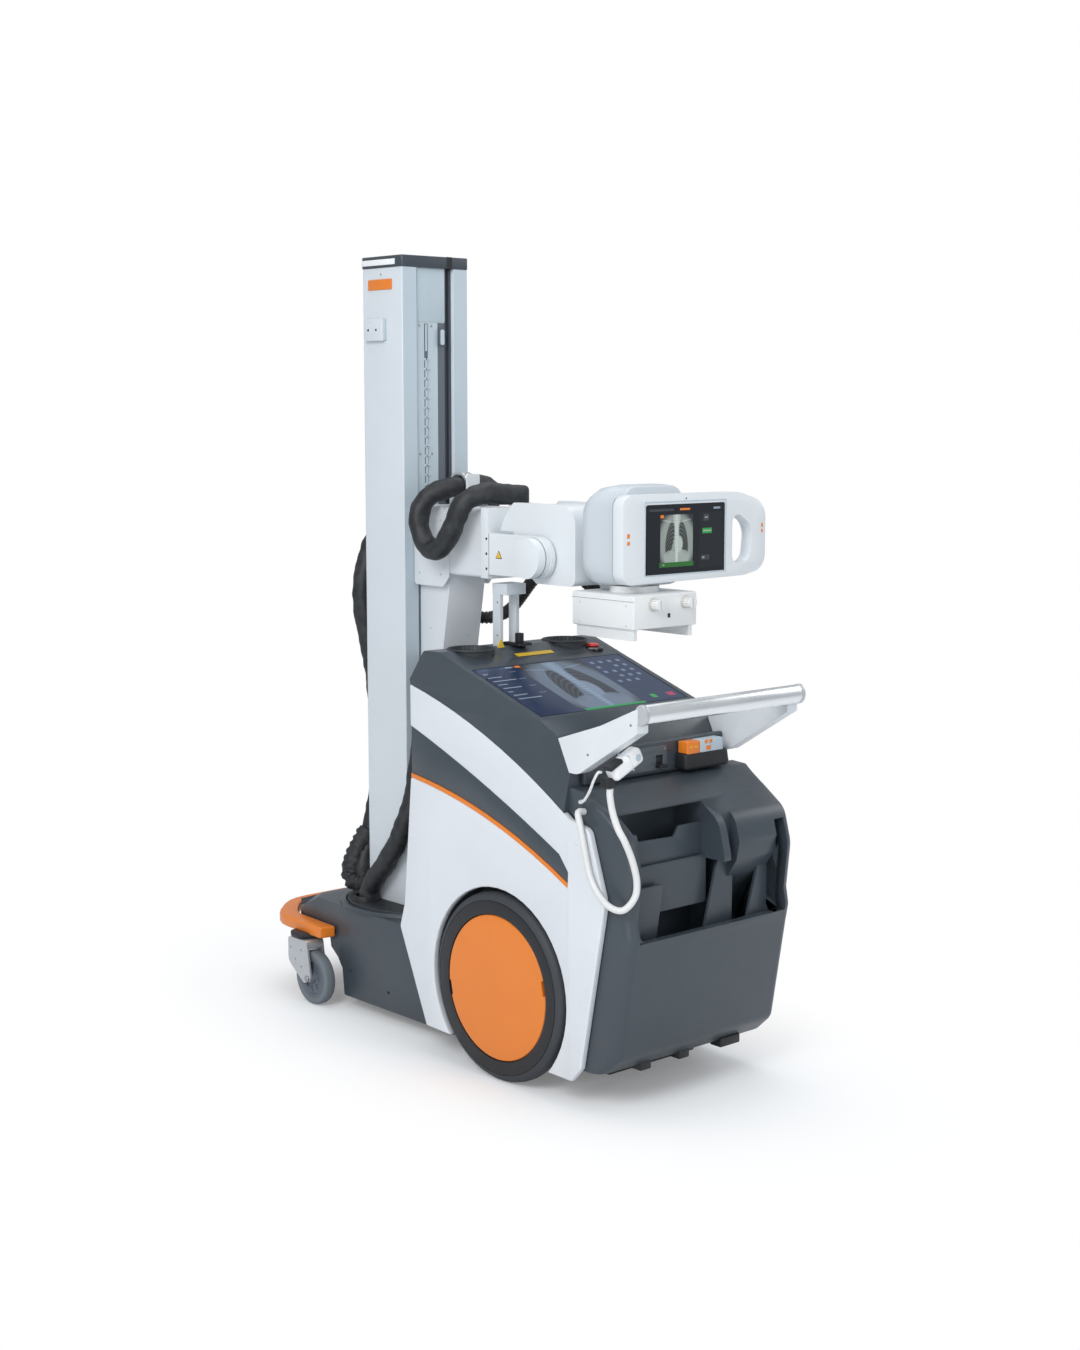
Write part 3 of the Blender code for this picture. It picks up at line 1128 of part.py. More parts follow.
def make_cords():
    table_top = COVER_TOP_Z + TOUCH + TURNTABLE_T + TOUCH
    add_tube("column_cable", (
        (0.148, 0.4400, 1.340), (0.148, 0.470, 1.340), (0.144, 0.520, 1.340), (0.120, 0.575, 1.335),
        (0.060, 0.603, 1.320),
        (-0.020, 0.603, 1.290), (-0.064, 0.598, 1.220), (-0.080, 0.596, 1.120), (-0.060, 0.594, 1.000),
        (-0.038, 0.592, 0.880), (-0.030, 0.592, 0.740), (-0.030, 0.592, 0.600), (-0.060, 0.590, 0.480),
        (-0.095, 0.580, 0.390), (-0.100, 0.572, 0.340), (-0.100, 0.572, table_top)),
        BUNDLE_R, "column", "black", spacing=1.2)
    add_tube("foot_cable", (
        (-0.030, 0.312, 0.9840), (-0.030, 0.312, 0.950), (-0.056, 0.314, 0.885), (-0.086, 0.318, 0.800),
        (-0.104, 0.320, 0.700), (-0.122, 0.326, 0.600), (-0.145, 0.352, 0.500), (-0.147, 0.410, 0.420),
        (-0.146, 0.460, 0.370), (-0.144, 0.490, 0.330), (-0.144, 0.490, table_top)),
        BUNDLE_R, "column", "black", spacing=1.2)
    add_tube("arm_cable", (
        (0.030, 0.066, 1.4190), (-0.020, 0.072, 1.421), (-0.072, 0.083, 1.425), (-0.120, 0.108, 1.397),
        (-0.132, 0.140, 1.330), (-0.134, 0.180, 1.285), (-0.134, 0.225, 1.280), (-0.134, 0.262, 1.315),
        (-0.132, 0.272, 1.370), (-0.108, 0.255, 1.415), (-0.060, 0.225, 1.437), (0.000, 0.215, 1.440),
        (0.060, 0.235, 1.437), (0.112, 0.270, 1.412), (0.142, 0.330, 1.362), (0.148, 0.380, 1.342),
        (0.148, 0.410, 1.340), (0.148, 0.4397, 1.340)),
        BUNDLE_R, "carriage", "black", spacing=1.2)
    add_tube("switch_cord", (
        (-0.276, SWITCH_Y, HOLDER_BOTTOM_Z - TOUCH), (-0.276, SWITCH_Y, 0.765), (-0.288, -0.622, 0.732),
        (-0.296, -0.648, 0.700), (-0.290, -0.664, 0.672), (-0.271, -0.669, 0.626), (-0.257, -0.669, 0.578),
        (-0.260, -0.666, 0.540), (-0.284, -0.655, 0.513), (-0.2985, -0.628, 0.516), (-0.2995, -0.592, 0.537),
        (-0.2990, -0.562, 0.573), (-0.2985, -0.545, 0.620), (-0.2980, -0.532, 0.665), (-0.2960, -0.522, 0.692),
        (-0.2890, -0.508, 0.716), (-0.2692, -0.508, 0.716)), SWITCH_CORD_R, "base", "white", spacing=1.2)
    add_tube("switch_lead", (
        (HOLDER_X[0] - TOUCH, -0.590, 0.822), (-0.3045, -0.590, 0.822), (-0.3065, -0.578, 0.802),
        (-0.3040, -0.562, 0.775), (-0.3010, -0.542, 0.752), (-0.2950, -0.522, 0.742),
        (-0.2850, -0.510, 0.742), (-BIN_X - TOUCH, -0.510, 0.742)), THIN_LEAD_R, "base", "white", 1)
    add_tube("arm_conduit", (
        (0.0603, 0.290, 1.080), (0.088, 0.290, 1.080), (0.112, 0.262, 1.083), (0.124, 0.205, 1.108),
        (0.127, 0.130, 1.180), (0.127, 0.080, 1.224), (0.127, 0.020, 1.233), (0.127, -0.045, 1.226),
        (0.124, -0.100, 1.192), (GLAND_X, -0.140, GLAND_Z), (GLAND_X, GLAND_Y[1] + TOUCH, GLAND_Z)),
        CONDUIT_R, "carriage", "black", spacing=1.2)


def make_all():
    make_core()
    make_sides()
    make_console()
    make_dock()
    make_rear()
    make_handle()
    make_hand_switch()
    make_base()
    make_rear_wheels()
    make_casters()
    make_column()
    make_carriage()
    make_yoke()
    make_head()
    make_collimator()
    make_cords()


clear_scene()
parts = make_collection(MACHINE)
cutters = make_collection("cutters")
empties = make_empties()
make_all()
empties["base"].location = (-(LOOP_X - WHEEL_OUT_X) / 2, -(BUMPER_FRONT_Y + HANDLE_Y - HANDLE_D / 2) / 2, 0)
bpy.context.view_layer.update()
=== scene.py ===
import json
import math
import bpy
from mathutils import Matrix, Vector


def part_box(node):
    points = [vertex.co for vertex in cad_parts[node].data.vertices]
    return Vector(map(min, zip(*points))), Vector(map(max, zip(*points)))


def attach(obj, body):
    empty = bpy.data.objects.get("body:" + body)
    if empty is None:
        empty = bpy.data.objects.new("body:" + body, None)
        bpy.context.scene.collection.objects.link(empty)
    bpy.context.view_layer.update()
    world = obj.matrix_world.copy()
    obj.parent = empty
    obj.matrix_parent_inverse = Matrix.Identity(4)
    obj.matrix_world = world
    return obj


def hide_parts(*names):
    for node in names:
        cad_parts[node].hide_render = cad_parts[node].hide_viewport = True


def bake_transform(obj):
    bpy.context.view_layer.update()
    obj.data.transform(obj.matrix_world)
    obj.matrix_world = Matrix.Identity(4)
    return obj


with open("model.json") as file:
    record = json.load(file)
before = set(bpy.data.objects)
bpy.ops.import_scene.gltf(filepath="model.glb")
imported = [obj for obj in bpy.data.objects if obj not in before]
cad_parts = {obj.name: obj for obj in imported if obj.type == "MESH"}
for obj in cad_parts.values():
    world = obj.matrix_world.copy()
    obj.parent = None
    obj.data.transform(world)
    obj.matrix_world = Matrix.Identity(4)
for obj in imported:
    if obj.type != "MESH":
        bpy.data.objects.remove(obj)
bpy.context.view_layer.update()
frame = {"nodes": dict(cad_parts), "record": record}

bodyOf = {node: body for body, nodes in frame["record"]["behaviour"]["bodies"].items() for node in nodes}

# The machine was laid out about its own middle plane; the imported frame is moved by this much
shift = Vector((-0.04125, -0.0995, 0.0))
sides = (("Left", -1), ("Right", 1))


def at(x, y, z):  # a place in the machine's own layout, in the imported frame
    return Vector((x, y, z)) + shift


def boxOf(node):  # the corners of a solid, in the machine's own layout
    low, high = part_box(node)
    return low - shift, high - shift


def aim(direction):  # the turn that lays the Z axis along a direction
    return Vector(direction).to_track_quat("Z", "Y").to_matrix().to_4x4()


def axesTurn(across, up, out):
    return Matrix((across, up, out)).transposed().to_4x4()


# Camera and light

view = {"place": (-3.3388, -3.7985, 1.6312), "look": (0.6595, 0.7401, -0.1316), "lens": 52.9}
light = {
    "world": 0.50, "worldColor": (0.90, 0.95, 1.0),
    "floorColor": (0.80, 0.815, 0.83), "floorLift": 0.16, "floorReach": (2.10, 1.05, 0.0),
    "whiteFrom": 0.62, "whiteTo": 1.65,
    "lamps": (
        # name, place, target, width, height, watts
        ("key", (-4.9, -2.3, 4.3), (0.0, 0.0, 0.9), 3.0, 2.6, 190.0),
        ("front", (-0.4, -5.2, 2.2), (0.0, 0.0, 0.9), 2.6, 2.2, 34.0),
        ("edge", (-4.7, -3.6, 1.3), (0.0, -0.3, 0.7), 0.5, 2.4, 26.0),
        ("top", (0.6, 0.6, 5.2), (0.0, 0.0, 0.6), 3.6, 3.6, 80.0),
        ("right", (4.6, -1.6, 3.0), (0.0, 0.0, 0.9), 2.4, 2.4, 40.0),
    ),
}


def linkNew(name, data):
    item = bpy.data.objects.new(name, data)
    bpy.context.scene.collection.objects.link(item)
    return item


def makeCamera():
    data = bpy.data.cameras.new("camera")
    data.lens = view["lens"]
    data.sensor_width = 36.0
    data.clip_end = 60.0
    camera = linkNew("camera", data)
    camera.location = at(*view["place"])
    camera.rotation_euler = Vector(view["look"]).to_track_quat("-Z", "Y").to_euler()
    bpy.context.scene.camera = camera
    bpy.context.scene.view_settings.view_transform = "Standard"


def feed(tree, socket, value):
    if isinstance(value, (int, float, tuple)):
        socket.default_value = value
    else:
        tree.links.new(value, socket)


def addNode(tree, kind, inputs=(), **settings):  # a shader node, its inputs fed by name or number
    node = tree.nodes.new(kind)
    for label, value in settings.items():
        setattr(node, label, value)
    for label, value in inputs:
        feed(tree, node.inputs[label], value)
    return node


def makeLight():  # soft light from all round, white where the camera looks past the floor
    world = bpy.data.worlds.new("studio")
    bpy.context.scene.world = world
    world.use_nodes = True
    tree = world.node_tree
    tree.nodes.clear()
    soft = addNode(tree, "ShaderNodeBackground",
                   (("Color", (*light["worldColor"], 1)), ("Strength", light["world"])))
    seen = addNode(tree, "ShaderNodeBackground", (("Color", (1, 1, 1, 1)), ("Strength", 1.0)))
    path = addNode(tree, "ShaderNodeLightPath")
    mix = addNode(tree, "ShaderNodeMixShader",
                  ((0, path.outputs["Is Camera Ray"]), (1, soft.outputs[0]), (2, seen.outputs[0])))
    addNode(tree, "ShaderNodeOutputWorld", ((0, mix.outputs[0]),))
    for name, place, target, width, height, watts in light["lamps"]:
        lamp = bpy.data.lights.new(name, "AREA")
        lamp.shape = "RECTANGLE"
        lamp.size = width
        lamp.size_y = height
        lamp.energy = watts
        item = linkNew(name, lamp)
        item.location = place
        item.rotation_euler = (Vector(target) - Vector(place)).to_track_quat("-Z", "Y").to_euler()


def makeFloor():  # pale near the machine, where shadows fall, and white further off
    bpy.ops.mesh.primitive_plane_add(size=60, location=(0, 0, 0))
    floor = bpy.context.active_object
    floor.name = "studioFloor"
    material = bpy.data.materials.new("studioFloor")
    material.use_nodes = True
    tree = material.node_tree
    tree.nodes.clear()
    seen = addNode(tree, "ShaderNodeLightPath").outputs["Is Camera Ray"]
    place = addNode(tree, "ShaderNodeNewGeometry").outputs["Position"]
    around = addVector(tree, "MULTIPLY", place, light["floorReach"])
    reach = addNode(tree, "ShaderNodeVectorMath", ((0, around),), operation="LENGTH").outputs["Value"]
    fade = addMap(tree, reach, light["whiteFrom"], light["whiteTo"], 0.0, 1.0, "SMOOTHSTEP")
    diffuse = addNode(tree, "ShaderNodeBsdfDiffuse", (("Color", (*light["floorColor"], 1)),))
    glow = addNode(tree, "ShaderNodeEmission",
                   (("Strength", addMath(tree, "MULTIPLY", seen, light["floorLift"])),))
    lit = addNode(tree, "ShaderNodeAddShader", ((0, diffuse.outputs[0]), (1, glow.outputs[0])))
    white = addNode(tree, "ShaderNodeEmission")
    mix = addNode(tree, "ShaderNodeMixShader",
                  ((0, addMath(tree, "MULTIPLY", fade, seen)), (1, lit.outputs[0]), (2, white.outputs[0])))
    addNode(tree, "ShaderNodeOutputMaterial", ((0, mix.outputs[0]),))
    floor.data.materials.append(material)


# Shader groups shared by the finishes

groups = {}
finishes = {}


def newGroup(name, inputs, outputs):
    group = bpy.data.node_groups.new(name, "ShaderNodeTree")
    for label, kind, value in inputs:
        socket = group.interface.new_socket(label, in_out="INPUT", socket_type="NodeSocket" + kind)
        socket.default_value = value
    for label, kind in outputs:
        group.interface.new_socket(label, in_out="OUTPUT", socket_type="NodeSocket" + kind)
    given = addNode(group, "NodeGroupInput").outputs
    last = addNode(group, "NodeGroupOutput")
    place = addNode(group, "ShaderNodeTexCoord").outputs
    return group, given, last, place


surfaceOutputs = (("Color", "Color"), ("Roughness", "Float"), ("Height", "Float"))


def giveOut(group, last, color, rough, height):
    for label, value in (("Color", color), ("Roughness", rough), ("Height", height)):
        group.links.new(value, last.inputs[label])


def addNoise(tree, place, scale, detail=2.0, rough=0.5):
    return addNode(tree, "ShaderNodeTexNoise", (("Vector", place), ("Scale", scale), ("Detail", detail),
                                                ("Roughness", rough))).outputs["Fac"]


def addMath(tree, operation, a, b=0.0):
    return addNode(tree, "ShaderNodeMath", ((0, a), (1, b)), operation=operation).outputs[0]


def addVector(tree, operation, a, b=(0.0, 0.0, 0.0)):
    return addNode(tree, "ShaderNodeVectorMath", ((0, a), (1, b)), operation=operation).outputs[0]


def addMap(tree, value, low, high, toLow, toHigh, kind="LINEAR"):
    rows = (("Value", value), ("From Min", low), ("From Max", high), ("To Min", toLow), ("To Max", toHigh))
    return addNode(tree, "ShaderNodeMapRange", rows, interpolation_type=kind).outputs["Result"]


def addMix(tree, factor, a, b, blend="MIX"):
    return addNode(tree, "ShaderNodeMix", (("Factor", factor), (6, a), (7, b)),
                   data_type="RGBA", blend_type=blend).outputs[2]


def splitAxes(tree, value):
    return addNode(tree, "ShaderNodeSeparateXYZ", ((0, value),)).outputs


def makeMoulded():  # fine grain, slight unevenness of colour and faint handling marks
    group, given, last, place = newGroup(
        "mouldedSurface",
        (("Color", "Color", (0.8, 0.8, 0.8, 1)), ("Rough", "Float", 0.4), ("Grain Scale", "Float", 900.0),
         ("Unevenness", "Float", 0.05), ("Marks", "Float", 0.1)), surfaceOutputs)
    grain = addNoise(group, place["Object"], given["Grain Scale"], 1.0)
    broad = addNoise(group, place["Object"], 7.0, 3.0, 0.55)
    smear = addNoise(group, place["Object"], 26.0, 5.0, 0.65)
    dark = addMath(group, "MULTIPLY", addMap(group, broad, 0.3, 0.7, 0.0, 1.0), given["Unevenness"])
    shade = addMix(group, dark, given["Color"], (0.0, 0.0, 0.0, 1))
    marks = addMath(group, "MULTIPLY", addMap(group, smear, 0.48, 0.72, 0.0, 1.0), given["Marks"])
    giveOut(group, last, shade, addMath(group, "ADD", given["Rough"], marks), grain)
    groups["moulded"] = group


def makeBrushed():  # fine lines along the longest side of the stretch
    group, given, last, place = newGroup(
        "brushedMetal",
        (("Color", "Color", (0.8, 0.8, 0.8, 1)), ("Rough", "Float", 0.3),
         ("Stretch", "Vector", (6.0, 900.0, 900.0))), surfaceOutputs)
    lines = addNoise(group, addVector(group, "MULTIPLY", place["Object"], given["Stretch"]), 1.0, 2.0)
    broad = addNoise(group, place["Object"], 9.0, 2.0)
    lined = addMap(group, lines, 0.3, 0.7, 0.0, 0.10)
    shade = addMix(group, lined, given["Color"], (0.25, 0.25, 0.26, 1))
    rough = addMath(group, "ADD", given["Rough"], addMap(group, broad, 0.3, 0.7, -0.04, 0.06))
    giveOut(group, last, shade, rough, lines)
    groups["brushed"] = group


def makeWoven():  # nylon sleeve: a fine braid round the cable, in UV
    group, given, last, place = newGroup(
        "wovenSleeve",
        (("Color", "Color", (0.03, 0.03, 0.03, 1)), ("Rough", "Float", 0.6), ("Along", "Float", 700.0),
         ("Around", "Float", 60.0)), surfaceOutputs)
    axes = splitAxes(group, place["UV"])
    along = addMath(group, "SINE", addMath(group, "MULTIPLY", axes[0], given["Along"]))
    around = addMath(group, "SINE", addMath(group, "MULTIPLY", axes[1], given["Around"]))
    weave = addMap(group, addMath(group, "MULTIPLY", along, around), -1.0, 1.0, 0.0, 1.0)
    dust = addNoise(group, place["Object"], 40.0, 4.0, 0.6)
    dusty = addMap(group, dust, 0.42, 0.72, 0.0, 0.12)
    shade = addMix(group, dusty, given["Color"], (0.22, 0.23, 0.24, 1))
    shade = addMix(group, addMap(group, weave, 0.0, 1.0, 0.35, 0.0), shade, (0.0, 0.0, 0.0, 1))
    rough = addMath(group, "ADD", given["Rough"], addMap(group, dust, 0.3, 0.7, -0.06, 0.08))
    giveOut(group, last, shade, rough, weave)
    groups["woven"] = group


# colour, roughness, grain scale, unevenness, marks, bump, coat
mouldedTable = {
    "panelWhite": ((0.715, 0.745, 0.780), 0.34, 1400.0, 0.03, 0.08, 0.010, 0.15),
    "headWhite": ((0.735, 0.772, 0.800), 0.32, 1500.0, 0.03, 0.08, 0.008, 0.15),
    # casing: the head's white darkened as painted shade, for the casing set back behind the bezel
    "casingShadedWhite": ((0.590, 0.640, 0.680), 0.34, 1500.0, 0.03, 0.08, 0.008, 0.12),
    "boxWhite": ((0.790, 0.805, 0.810), 0.36, 1500.0, 0.03, 0.08, 0.008, 0.10),
    "columnWhite": ((0.660, 0.705, 0.745), 0.36, 1100.0, 0.03, 0.06, 0.012, 0.10),
    "columnShade": ((0.505, 0.590, 0.648), 0.40, 1100.0, 0.03, 0.06, 0.012, 0.05),
    "plateGrey": ((0.470, 0.555, 0.610), 0.40, 1100.0, 0.03, 0.06, 0.012, 0.05),
    "brightWhite": ((0.880, 0.890, 0.900), 0.30, 1500.0, 0.02, 0.05, 0.006, 0.2),
    "slate": ((0.048, 0.062, 0.076), 0.36, 1600.0, 0.10, 0.08, 0.030, 0.15),
    "slateLight": ((0.095, 0.112, 0.130), 0.42, 1600.0, 0.08, 0.10, 0.03, 0.0),
    "slateDark": ((0.030, 0.034, 0.040), 0.55, 1300.0, 0.10, 0.08, 0.04, 0.0),
    "softBlack": ((0.012, 0.013, 0.015), 0.55, 900.0, 0.10, 0.08, 0.04, 0.0),
    "glossBlack": ((0.010, 0.010, 0.012), 0.22, 900.0, 0.02, 0.05, 0.01, 0.3),
    "orange": ((0.800, 0.215, 0.018), 0.36, 1300.0, 0.04, 0.08, 0.012, 0.15),
    "tyreRubber": ((0.040, 0.046, 0.054), 0.60, 700.0, 0.14, 0.10, 0.05, 0.0),
    "rimBlack": ((0.013, 0.014, 0.017), 0.42, 900.0, 0.08, 0.10, 0.02, 0.0),
    "casterRubber": ((0.165, 0.190, 0.215), 0.55, 800.0, 0.08, 0.10, 0.03, 0.0),
    "casterHub": ((0.120, 0.140, 0.170), 0.50, 800.0, 0.08, 0.10, 0.03, 0.0),
    "cordWhite": ((0.740, 0.745, 0.740), 0.42, 900.0, 0.04, 0.08, 0.02, 0.0),
    "knobGrey": ((0.560, 0.545, 0.505), 0.45, 900.0, 0.05, 0.08, 0.02, 0.0),
    "railBeige": ((0.600, 0.590, 0.550), 0.42, 900.0, 0.05, 0.08, 0.02, 0.0),
    "frameBlack": ((0.018, 0.019, 0.021), 0.45, 700.0, 0.10, 0.10, 0.03, 0.0),
    "screenGlass": ((0.004, 0.005, 0.008), 0.12, 60.0, 0.0, 0.03, 0.0, 0.4),
    "stopRed": ((0.620, 0.020, 0.012), 0.30, 1300.0, 0.03, 0.05, 0.01, 0.3),
    "warnYellow": ((0.780, 0.500, 0.030), 0.42, 1300.0, 0.05, 0.05, 0.01, 0.0),
    "ledGreen": ((0.040, 0.420, 0.070), 0.32, 900.0, 0.02, 0.05, 0.01, 0.2),
    "conduit": ((0.014, 0.015, 0.016), 0.50, 500.0, 0.12, 0.10, 0.04, 0.0),
}
# colour, roughness, metallic, stretch, bump
metalTable = {
    "barAlu": ((0.940, 0.955, 0.970), 0.28, 1.0, (5.0, 700.0, 700.0), 0.004),
    "satinAlu": ((0.760, 0.775, 0.790), 0.28, 1.0, (5.0, 700.0, 700.0), 0.012),
    "castAlu": ((0.600, 0.620, 0.640), 0.42, 0.7, (260.0, 260.0, 260.0), 0.03),
    "steel": ((0.420, 0.430, 0.440), 0.32, 1.0, (300.0, 300.0, 300.0), 0.02),
}
sleeve = {"color": (0.015, 0.017, 0.020), "rough": 0.52, "along": 1800.0, "around": 88.0, "bump": 0.05}


def makeFinish(name, kind, color, rough, inputs, metal, bump, coat):
    material = bpy.data.materials.new(name)
    material.use_nodes = True
    tree = material.node_tree
    surface = addNode(tree, "ShaderNodeGroup", node_tree=groups[kind])
    for label, value in (("Color", (*color, 1)), ("Rough", rough), *inputs):
        surface.inputs[label].default_value = value
    relief = addNode(tree, "ShaderNodeBump",
                     (("Strength", bump * 6), ("Distance", 0.0006), ("Height", surface.outputs["Height"])))
    shader = tree.nodes["Principled BSDF"]
    for label, value in (("Metallic", metal), ("Coat Weight", coat), ("Coat Roughness", 0.2),
                         ("Base Color", surface.outputs["Color"]),
                         ("Roughness", surface.outputs["Roughness"]), ("Normal", relief.outputs["Normal"])):
        feed(tree, shader.inputs[label], value)
    finishes[name] = material


def makeFinishes():
    for name, (color, rough, grain, uneven, marks, bump, coat) in mouldedTable.items():
        makeFinish(name, "moulded", color, rough,
                   (("Grain Scale", grain), ("Unevenness", uneven), ("Marks", marks)), 0.0, bump, coat)
    for name, (color, rough, metal, stretch, bump) in metalTable.items():
        makeFinish(name, "brushed", color, rough, (("Stretch", stretch),), metal, bump, 0.0)
    makeFinish("cableSleeve", "woven", sleeve["color"], sleeve["rough"],
               (("Along", sleeve["along"]), ("Around", sleeve["around"])), 0.0, sleeve["bump"], 0.0)


# Modelling helpers

mergeReach = 0.00002


def deselectAll():
    if bpy.context.object and bpy.context.object.mode != "OBJECT":
        bpy.ops.object.mode_set(mode="OBJECT")
    bpy.ops.object.select_all(action="DESELECT")


def activate(item):
    deselectAll()
    item.select_set(True)
    bpy.context.view_layer.objects.active = item


def applyAll(item):
    activate(item)
    for step in list(item.modifiers):
        bpy.ops.object.modifier_apply(modifier=step.name)


def settle(item):  # puts the object's place, turn and size into its mesh
    activate(item)
    bpy.ops.object.transform_apply(location=True, rotation=True, scale=True)


def cleanMesh(item, reach=mergeReach):  # merges doubled vertices and turns the faces outward
    activate(item)
    bpy.ops.object.mode_set(mode="EDIT")
    bpy.ops.mesh.select_all(action="SELECT")
    if reach:
        bpy.ops.mesh.remove_doubles(threshold=reach)
    bpy.ops.mesh.normals_make_consistent(inside=False)
    bpy.ops.object.mode_set(mode="OBJECT")


def addBevel(item, width, segments=3, angle=30):
    step = item.modifiers.new("edge", "BEVEL")
    step.width = width
    step.segments = segments
    step.limit_method = "ANGLE"
    step.angle_limit = math.radians(angle)
    step.use_clamp_overlap = True


def finishPiece(item, finish, body, edge=0.0, segments=2, angle=30, smooth=40):
    if edge:
        addBevel(item, edge, segments, angle)
    applyAll(item)
    settle(item)
    bpy.ops.object.shade_smooth_by_angle(angle=math.radians(smooth))
    item.data.materials.clear()
    item.data.materials.append(finishes[finish])
    if body:
        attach(item, body)
    return item


def addBox(name, low, high):
    deselectAll()
    low, high = at(*low), at(*high)
    bpy.ops.mesh.primitive_cube_add(size=1, location=(low + high) / 2, scale=tuple(high - low))
    item = bpy.context.active_object
    item.name = name
    settle(item)
    return item


def addBoxes(body, rows):  # name, low corner, high corner, finish, edge radius, its segments
    for name, low, high, finish, edge, segments in rows:
        finishPiece(addBox(name, low, high), finish, body, edge, segments)


def addRod(name, start, end, radius, steps=24):
    deselectAll()
    start, end = at(*start), at(*end)
    bpy.ops.mesh.primitive_cone_add(
        vertices=steps, radius1=radius, radius2=radius, depth=(end - start).length,
        location=(start + end) / 2, rotation=(end - start).to_track_quat("Z", "Y").to_euler())
    item = bpy.context.active_object
    item.name = name
    settle(item)
    return item


def joinAll(name, items):
    deselectAll()
    for item in items:
        item.select_set(True)
    bpy.context.view_layer.objects.active = items[0]
    if len(items) > 1:
        bpy.ops.object.join()
    items[0].name = name
    return items[0]


def cutAway(item, cutter, operation="DIFFERENCE"):
    step = item.modifiers.new("cut", "BOOLEAN")
    step.operation = operation
    step.solver = "EXACT"
    step.object = cutter
    applyAll(item)
    bpy.data.objects.remove(cutter)


def roundRows(rows, steps, share):  # an outline as rows of two places and that corner's radius
    result = []
    flat = [Vector(row[:2]) for row in rows]
    for index, corner in enumerate(flat):
        radius = rows[index][2]
        if not radius:
            result.append(corner)
            continue
        back, ahead = flat[index - 1] - corner, flat[(index + 1) % len(flat)] - corner
        half = back.angle(ahead) / 2
        reach = min(radius / math.tan(half), share * back.length, share * ahead.length)
        start, end = corner + back.normalized() * reach, corner + ahead.normalized() * reach
        for step in range(steps + 1):
            t = step / steps
            result.append(start * (1 - t) ** 2 + corner * 2 * t * (1 - t) + end * t ** 2)
    return result


def softCorners(points, radius, steps=5):  # an outline with arcs in place of its corners
    return roundRows([(*point, radius) for point in points], steps, 0.45)


def softRect(low, high, radius, steps=5):
    return softCorners((low, (high[0], low[1]), high, (low[0], high[1])), radius, steps)


def addLine(name, points, closed=False, sizes=(), **settings):  # a line through points, not yet a mesh
    curve = bpy.data.curves.new(name, "CURVE")
    curve.dimensions = "3D"
    for label, value in settings.items():
        setattr(curve, label, value)
    spline = curve.splines.new("POLY")
    spline.points.add(len(points) - 1)
    spline.use_cyclic_u = closed
    for target, point in zip(spline.points, points):
        target.co = (*point, 1.0)
    for target, size in zip(spline.points, sizes):
        target.radius = size
    return linkNew(name, curve)


def turnToMesh(item):
    activate(item)
    bpy.ops.object.convert(target="MESH")


def addSheet(name, points, plane, low, high):  # an outline in YZ, XZ or XY pushed from low to high
    axes = {"YZ": ((0, 1, 0), (0, 0, 1), (1, 0, 0)), "XZ": ((1, 0, 0), (0, 0, 1), (0, -1, 0)),
            "XY": ((1, 0, 0), (0, 1, 0), (0, 0, 1))}[plane]
    flat = [(point[0], point[1], 0.0) for point in points]
    item = addLine(name, flat, True, dimensions="2D", fill_mode="BOTH", extrude=abs(high - low) / 2)
    middle = Vector([abs(part) for part in axes[2]]) * (low + high) / 2
    item.matrix_world = Matrix.Translation(middle + shift) @ axesTurn(*axes)
    turnToMesh(item)
    cleanMesh(item)
    settle(item)
    return item


def addTurned(name, profile, centre, direction, steps=96):  # rows of radius and height about a line
    item = addLine(name, [(radius, 0.0, height) for radius, height in profile], profile[0][0] > 1e-6)
    turnToMesh(item)
    step = item.modifiers.new("turn", "SCREW")
    step.steps = steps
    step.render_steps = steps
    step.use_merge_vertices = True
    step.merge_threshold = 0.00005
    applyAll(item)
    cleanMesh(item, 0.0)
    item.matrix_world = Matrix.Translation(at(*centre)) @ aim(direction)
    settle(item)
    return item


def lifted(base, rows):  # a turned outline's rows of radius and height, their heights counted from a base
    return tuple((radius, base + height) for radius, height in rows)


def mirrored(half, middle=()):  # a turned outline from its upper half
    return (*half, *middle, *[(radius, -height) for radius, height in reversed(half)])


def moveMesh(item, *turns):  # turned about the machine's own origin, then put back into the frame
    whole = Matrix.Translation(shift)
    for turn in turns:
        whole = whole @ turn
    item.data.transform(whole @ Matrix.Translation(-shift))
    return item


def dressNode(name, finish, edge=0.002, segments=2, title=""):  # a softened copy stands for the node
    item = linkNew(title or name + "Shell", frame["nodes"][name].data.copy())
    activate(item)
    bpy.ops.object.mode_set(mode="EDIT")
    bpy.ops.mesh.select_all(action="SELECT")
    bpy.ops.mesh.remove_doubles(threshold=0.00001)
    bpy.ops.mesh.dissolve_limited(angle_limit=math.radians(0.8))
    bpy.ops.object.mode_set(mode="OBJECT")
    finishPiece(item, finish, bodyOf[name], edge, segments, 32)
    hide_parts(name)
    return item


# Screws: one head with a hexagon socket, copied to every place

def makeScrewHead():
    head = addTurned("screwHead", ((0.0, 0.35), (0.75, 0.32), (0.96, 0.18), (1.0, 0.0), (0.9, -0.25),
                                   (0.0, -0.25)), -shift, (0, 0, 1), 20)
    deselectAll()
    bpy.ops.mesh.primitive_cylinder_add(vertices=6, radius=0.42, depth=0.5, location=(0, 0, 0.35))
    socket = bpy.context.active_object
    settle(socket)
    cutAway(head, socket)
    return head


def addScrews(name, body, finish, rows):  # rows of place, direction, radius
    copies = []
    for place, direction, radius in rows:
        twin = linkNew(screwHead.name, screwHead.data.copy())
        size = Matrix.Diagonal((radius, radius, radius, 1))
        twin.data.transform(Matrix.Translation(at(*place)) @ aim(direction) @ size)
        copies.append(twin)
    return finishPiece(joinAll(name, copies), finish, body, smooth=35)


# Cords

